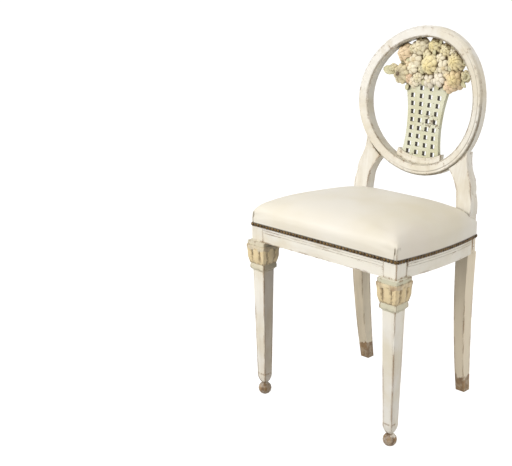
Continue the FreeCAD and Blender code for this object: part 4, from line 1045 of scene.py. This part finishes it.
def buildDustCover():
    mesh = bmesh.new()
    front = seat["front"] + cover["margin"]
    rear = seat["back"] - cover["margin"]
    lines = [front, (front + cover["frontLine"]) / 2]
    span = cover["rearLine"] - cover["frontLine"]
    lines += evenly(cover["frontLine"], cover["rearLine"], cover["rows"])
    lines += [(rear + cover["rearLine"]) / 2, rear]
    grid = []
    for y in lines:
        share = min(max((y - cover["frontLine"]) / span, 0), 1)
        inner = cover["legFront"] + (cover["legRear"] - cover["legFront"]) * share
        edge = max(seatHalf(y, -cover["margin"]), inner + cover["besideLeg"])
        half = evenly(0, inner, cover["columns"]) + [(inner + edge) / 2, edge]
        line = []
        for x in bothSides(half):
            middle = (1 - (x / edge) ** 2) * math.sin(math.pi * (y - front) / (rear - front))
            low = seat["railHeight"] + cover["below"] + cover["sag"] * max(middle, 0)
            line.append(mesh.verts.new((x, y, seatPlane(y) - low)))
        grid.append(line)
    across = len(grid[0]) - 1
    for row, (near, far) in enumerate(zip(grid, grid[1:])):
        byLegs = row < 2 or row >= len(grid) - 3
        for column in range(across):
            if byLegs and (column < 2 or column >= across - 2):
                continue
            mesh.faces.new((near[column], far[column], far[column + 1], near[column + 1]))
    dropLoose(mesh)
    thing = newPiece("dust_cloth", mesh, "dust_cloth", "dust_cloth", "dust_cover")
    smoothShade(thing)
    giveThickness(thing, cover["thickness"])


buildDustCover()
print("dust cover stretched")

# Carved leaves round the capitals of the front legs
capital = {
    "x": 0.198, "y": -0.1865, "foot": 0.353, "lip": 0.3995, "footHalf": 0.0218, "half": 0.025,
    "lipHalf": 0.0267, "swell": 0.0014, "curl": 0.0012, "across": 6, "along": 12,
    "thickness": 0.0014, "rib": 0.0006, "bed": 0.0003, "droop": 0.003,
    # width, how far out, how much it wraps round the corner, how high it reaches
    "middle": (0.0235, 1.0, 0.0, 0.93), "corner": (0.0165, 1.4142, 1.0, 1.09),
}


def capitalReach(share):
    # half the capital's width from its foot to its lip
    if share < 0.35:
        return capital["footHalf"] + (capital["half"] - capital["footHalf"]) * share / 0.35
    if share < 0.6:
        return capital["half"]
    return capital["half"] + (capital["lipHalf"] - capital["half"]) * min((share - 0.6) / 0.3, 1)


def capitalLeaf(mesh, turn, width, stretch, wrap, height):
    around = Matrix.Rotation(turn, 4, "Z")
    for vert, side, along in leafGrid(mesh, capital):
        tip = max(along - 0.8, 0) / 0.2
        lobes = 1 + 0.07 * math.cos(along * math.pi * 9)
        half = width / 2 * math.sin(math.pi * (0.3 + 0.52 * along)) ** 0.7 * lobes
        out = capitalReach(along * height) * stretch - abs(side) * half * wrap
        out += capital["swell"] * (1 - side * side) * (0.4 + 0.6 * math.sin(math.pi * along))
        out += capital["rib"] * (1 - min(abs(side) * 3, 1)) + capital["curl"] * tip ** 2
        out -= capital["bed"]
        up = capital["foot"] + (capital["lip"] - capital["foot"]) * along * height
        vert.co = around @ Vector((side * half, -out, up - capital["droop"] * tip ** 3))


def buildCapitals():
    for name, sign in (("capital_leaves_left", 1), ("capital_leaves_right", -1)):
        mesh = bmesh.new()
        for quarter in range(4):
            turn = math.pi / 2 * quarter
            capitalLeaf(mesh, turn, *capital["middle"])
            capitalLeaf(mesh, turn + math.pi / 4, *capital["corner"])
        bmesh.ops.translate(mesh, verts=mesh.verts, vec=(sign * capital["x"], capital["y"], 0))
        thing = newPiece(name, mesh, "capital_paint", "cream_paint")
        smoothShade(thing)
        giveThickness(thing, capital["thickness"])


buildCapitals()
print("capitals carved")

# Rounded end that each front leg's taper runs out in, above the ball: height and half width
legEnds = (
    (0.0585, 0.01255), (0.053, 0.0126), (0.047, 0.0118), (0.041, 0.0102), (0.036, 0.0082),
    (0.0325, 0.006),
)


def buildLegEnds():
    for name, sign in (("leg_end_left", 1), ("leg_end_right", -1)):
        mesh = bmesh.new()
        rings = []
        for height, half in legEnds:
            rings.append([
                mesh.verts.new((sign * capital["x"] + half * x, capital["y"] + half * y, height))
                for x, y in ((-1, -1), (1, -1), (1, 1), (-1, 1))
            ])
        for upper, lower in zip(rings, rings[1:]):
            for corner in range(4):
                mesh.faces.new((upper[corner - 1], lower[corner - 1], lower[corner], upper[corner]))
        mesh.faces.new(rings[0])
        mesh.faces.new(rings[-1][::-1])
        bmesh.ops.recalc_face_normals(mesh, faces=mesh.faces)
        newPiece(name, mesh, "front_leg", "cream_paint")


buildLegEnds()
print("leg ends shaped")


# Brass nails
nailShape = {"segments": 10, "rings": 6}


def islands(mesh):
    # groups of joined vertices, one for each separate solid of a node
    left = dict.fromkeys(mesh.verts)
    while left:
        first = left.popitem()[0]
        group = [first]
        queue = [first]
        while queue:
            for edge in queue.pop().link_edges:
                for vert in edge.verts:
                    if vert in left:
                        del left[vert]
                        group.append(vert)
                        queue.append(vert)
        yield group


def domesOn(name):
    # a domed head in the place of each nail solid of a node
    source = bmesh.new()
    source.from_mesh(nodes[name].data)
    bmesh.ops.remove_doubles(source, verts=source.verts, dist=1e-6)
    mesh = bmesh.new()
    spots = []
    for group in islands(source):
        faces = dict.fromkeys(face for vert in group for face in vert.link_faces)
        base = max(faces, key=lambda face: face.calc_area())
        flat = [face for face in faces if face.normal.dot(base.normal) > 0.999]
        spot = sum((face.calc_center_median() * face.calc_area() for face in flat), Vector())
        spot = spot / sum(face.calc_area() for face in flat)
        outward = -base.normal.normalized()
        radius = max((vert.co - spot).length for vert in group)
        height = max((vert.co - spot).dot(outward) for vert in group)
        spots.append((spot, outward, radius, height))
    source.free()
    for spot, outward, radius, height in spots:
        made = bmesh.ops.create_uvsphere(
            mesh, u_segments=nailShape["segments"], v_segments=nailShape["rings"], radius=1.0
        )["verts"]
        turn = outward.to_track_quat("Z", "Y").to_matrix().to_4x4()
        place = Matrix.Translation(spot) @ turn @ Matrix.Diagonal((radius, radius, height, 1))
        bmesh.ops.transform(mesh, matrix=place, verts=made)
        under = [vert for vert in made if (vert.co - spot).dot(outward) < -1e-6]
        bmesh.ops.delete(mesh, geom=under, context="VERTS")
    rims = [edge for edge in mesh.edges if edge.is_boundary]
    bmesh.ops.holes_fill(mesh, edges=rims, sides=0)
    bmesh.ops.recalc_face_normals(mesh, faces=mesh.faces)
    thing = newPiece(name.replace("nailheads", "brass_nails"), mesh, "aged_brass", "aged_brass", name)
    smoothShade(thing)


for name in ("nailheads_front", "nailheads_left", "nailheads_right", "nailheads_rear"):
    domesOn(name)
print("nails driven")


# Floor, light and camera
studio = {
    "floorGlow": 1.3, "cameraShare": 0.74, "floorTone": 0.86, "bounceTone": 0.55, "low": 0.24,
    "high": 0.66, "white": (1, 1, 1, 1), "ambient": (1, 0.99, 0.975, 1), "size": 14, "aim": 0.5,
}


def plainSurface(name):
    # white to the camera with a soft shadow, and duller to the light that bounces off it
    finish = Finish(name)
    seen = finish.seen()
    pale = [(tone, tone, tone, 1) for tone in (studio["bounceTone"], studio["floorTone"])]
    colour = finish.mix(seen, *pale)
    diffuse = finish.node("ShaderNodeBsdfDiffuse", {}, {"Color": colour})
    glow = finish.node("ShaderNodeEmission", {}, {
        "Color": studio["white"], "Strength": studio["floorGlow"],
    })
    shader = finish.node("ShaderNodeMixShader", {}, {
        0: seen * studio["cameraShare"], 1: diffuse, 2: glow,
    })
    finish.node("ShaderNodeOutputMaterial", {}, {"Surface": shader})
    return finish.material


floorMesh = bmesh.new()
bmesh.ops.create_grid(floorMesh, x_segments=1, y_segments=1, size=studio["size"])
floorData = bpy.data.meshes.new("floor")
floorMesh.to_mesh(floorData)
floorMesh.free()
floor = bpy.data.objects.new("floor", floorData)
bpy.context.scene.collection.objects.link(floor)
floorData.materials.append(plainSurface("pale floor"))

world = bpy.data.worlds.new("studio")
bpy.context.scene.world = world
world.use_nodes = True
sky = Finish("studio", world)
skyWay = sky.node("ShaderNodeTexCoord", output="Generated")
skyUp = sky.node("ShaderNodeSeparateXYZ", {}, {0: skyWay}, output="Z")
skyLight = sky.step(skyUp, -0.6, 0.9, studio["low"], studio["high"])
ambient = sky.node("ShaderNodeBackground", {}, {"Color": studio["ambient"], "Strength": skyLight})
backdrop = sky.node("ShaderNodeBackground", {}, {"Color": studio["white"], "Strength": 1})
choice = sky.node("ShaderNodeMixShader", {}, {0: sky.seen(), 1: ambient, 2: backdrop})
sky.node("ShaderNodeOutputWorld", {}, {"Surface": choice})

# place, size, power and colour
lamps = {
    "key": ((-1.3, -2.4, 1.75), 1.9, 63, (1, 0.985, 0.965)),
    "side": ((2.7, -0.4, 2.0), 1.6, 27, (1, 0.97, 0.94)),
    "top": ((-0.4, 0.3, 3.0), 2.2, 5, (1, 1, 1)),
}
for name, (place, size, power, colour) in lamps.items():
    lamp = bpy.data.lights.new(name, "AREA")
    lamp.size = size
    lamp.energy = power
    lamp.color = colour
    holder = bpy.data.objects.new(name, lamp)
    holder.location = place
    aim = Vector((0, 0, studio["aim"])) - Vector(place)
    holder.rotation_euler = aim.to_track_quat("-Z", "Y").to_euler()
    bpy.context.scene.collection.objects.link(holder)

# The camera as fitted to the photograph: its focal length and centre are in the photo's pixels
view = {
    "place": (1.5103, -1.9386, 1.1965), "yaw": 0.7973, "pitch": -0.3285, "roll": -0.0205,
    "focal": 1062.27, "centre": (238.74, 258.41), "width": 512, "height": 466, "sensor": 36,
    "near": 0.05,
}
cameraData = bpy.data.cameras.new("camera")
cameraData.sensor_fit = "HORIZONTAL"
cameraData.sensor_width = view["sensor"]
cameraData.lens = view["focal"] / view["width"] * view["sensor"]
cameraData.shift_x = (view["width"] / 2 - view["centre"][0]) / view["width"]
cameraData.shift_y = (view["centre"][1] - view["height"] / 2) / view["width"]
cameraData.clip_start = view["near"]
camera = bpy.data.objects.new("camera", cameraData)
turn = Matrix.Rotation(view["yaw"], 4, "Z") @ Matrix.Rotation(math.pi / 2 + view["pitch"], 4, "X")
turn = turn @ Matrix.Rotation(view["roll"], 4, "Z")
camera.matrix_world = Matrix.Translation(view["place"]) @ turn
bpy.context.scene.collection.objects.link(camera)
bpy.context.scene.camera = camera
bpy.context.scene.view_settings.view_transform = "Standard"
print("camera and light set")
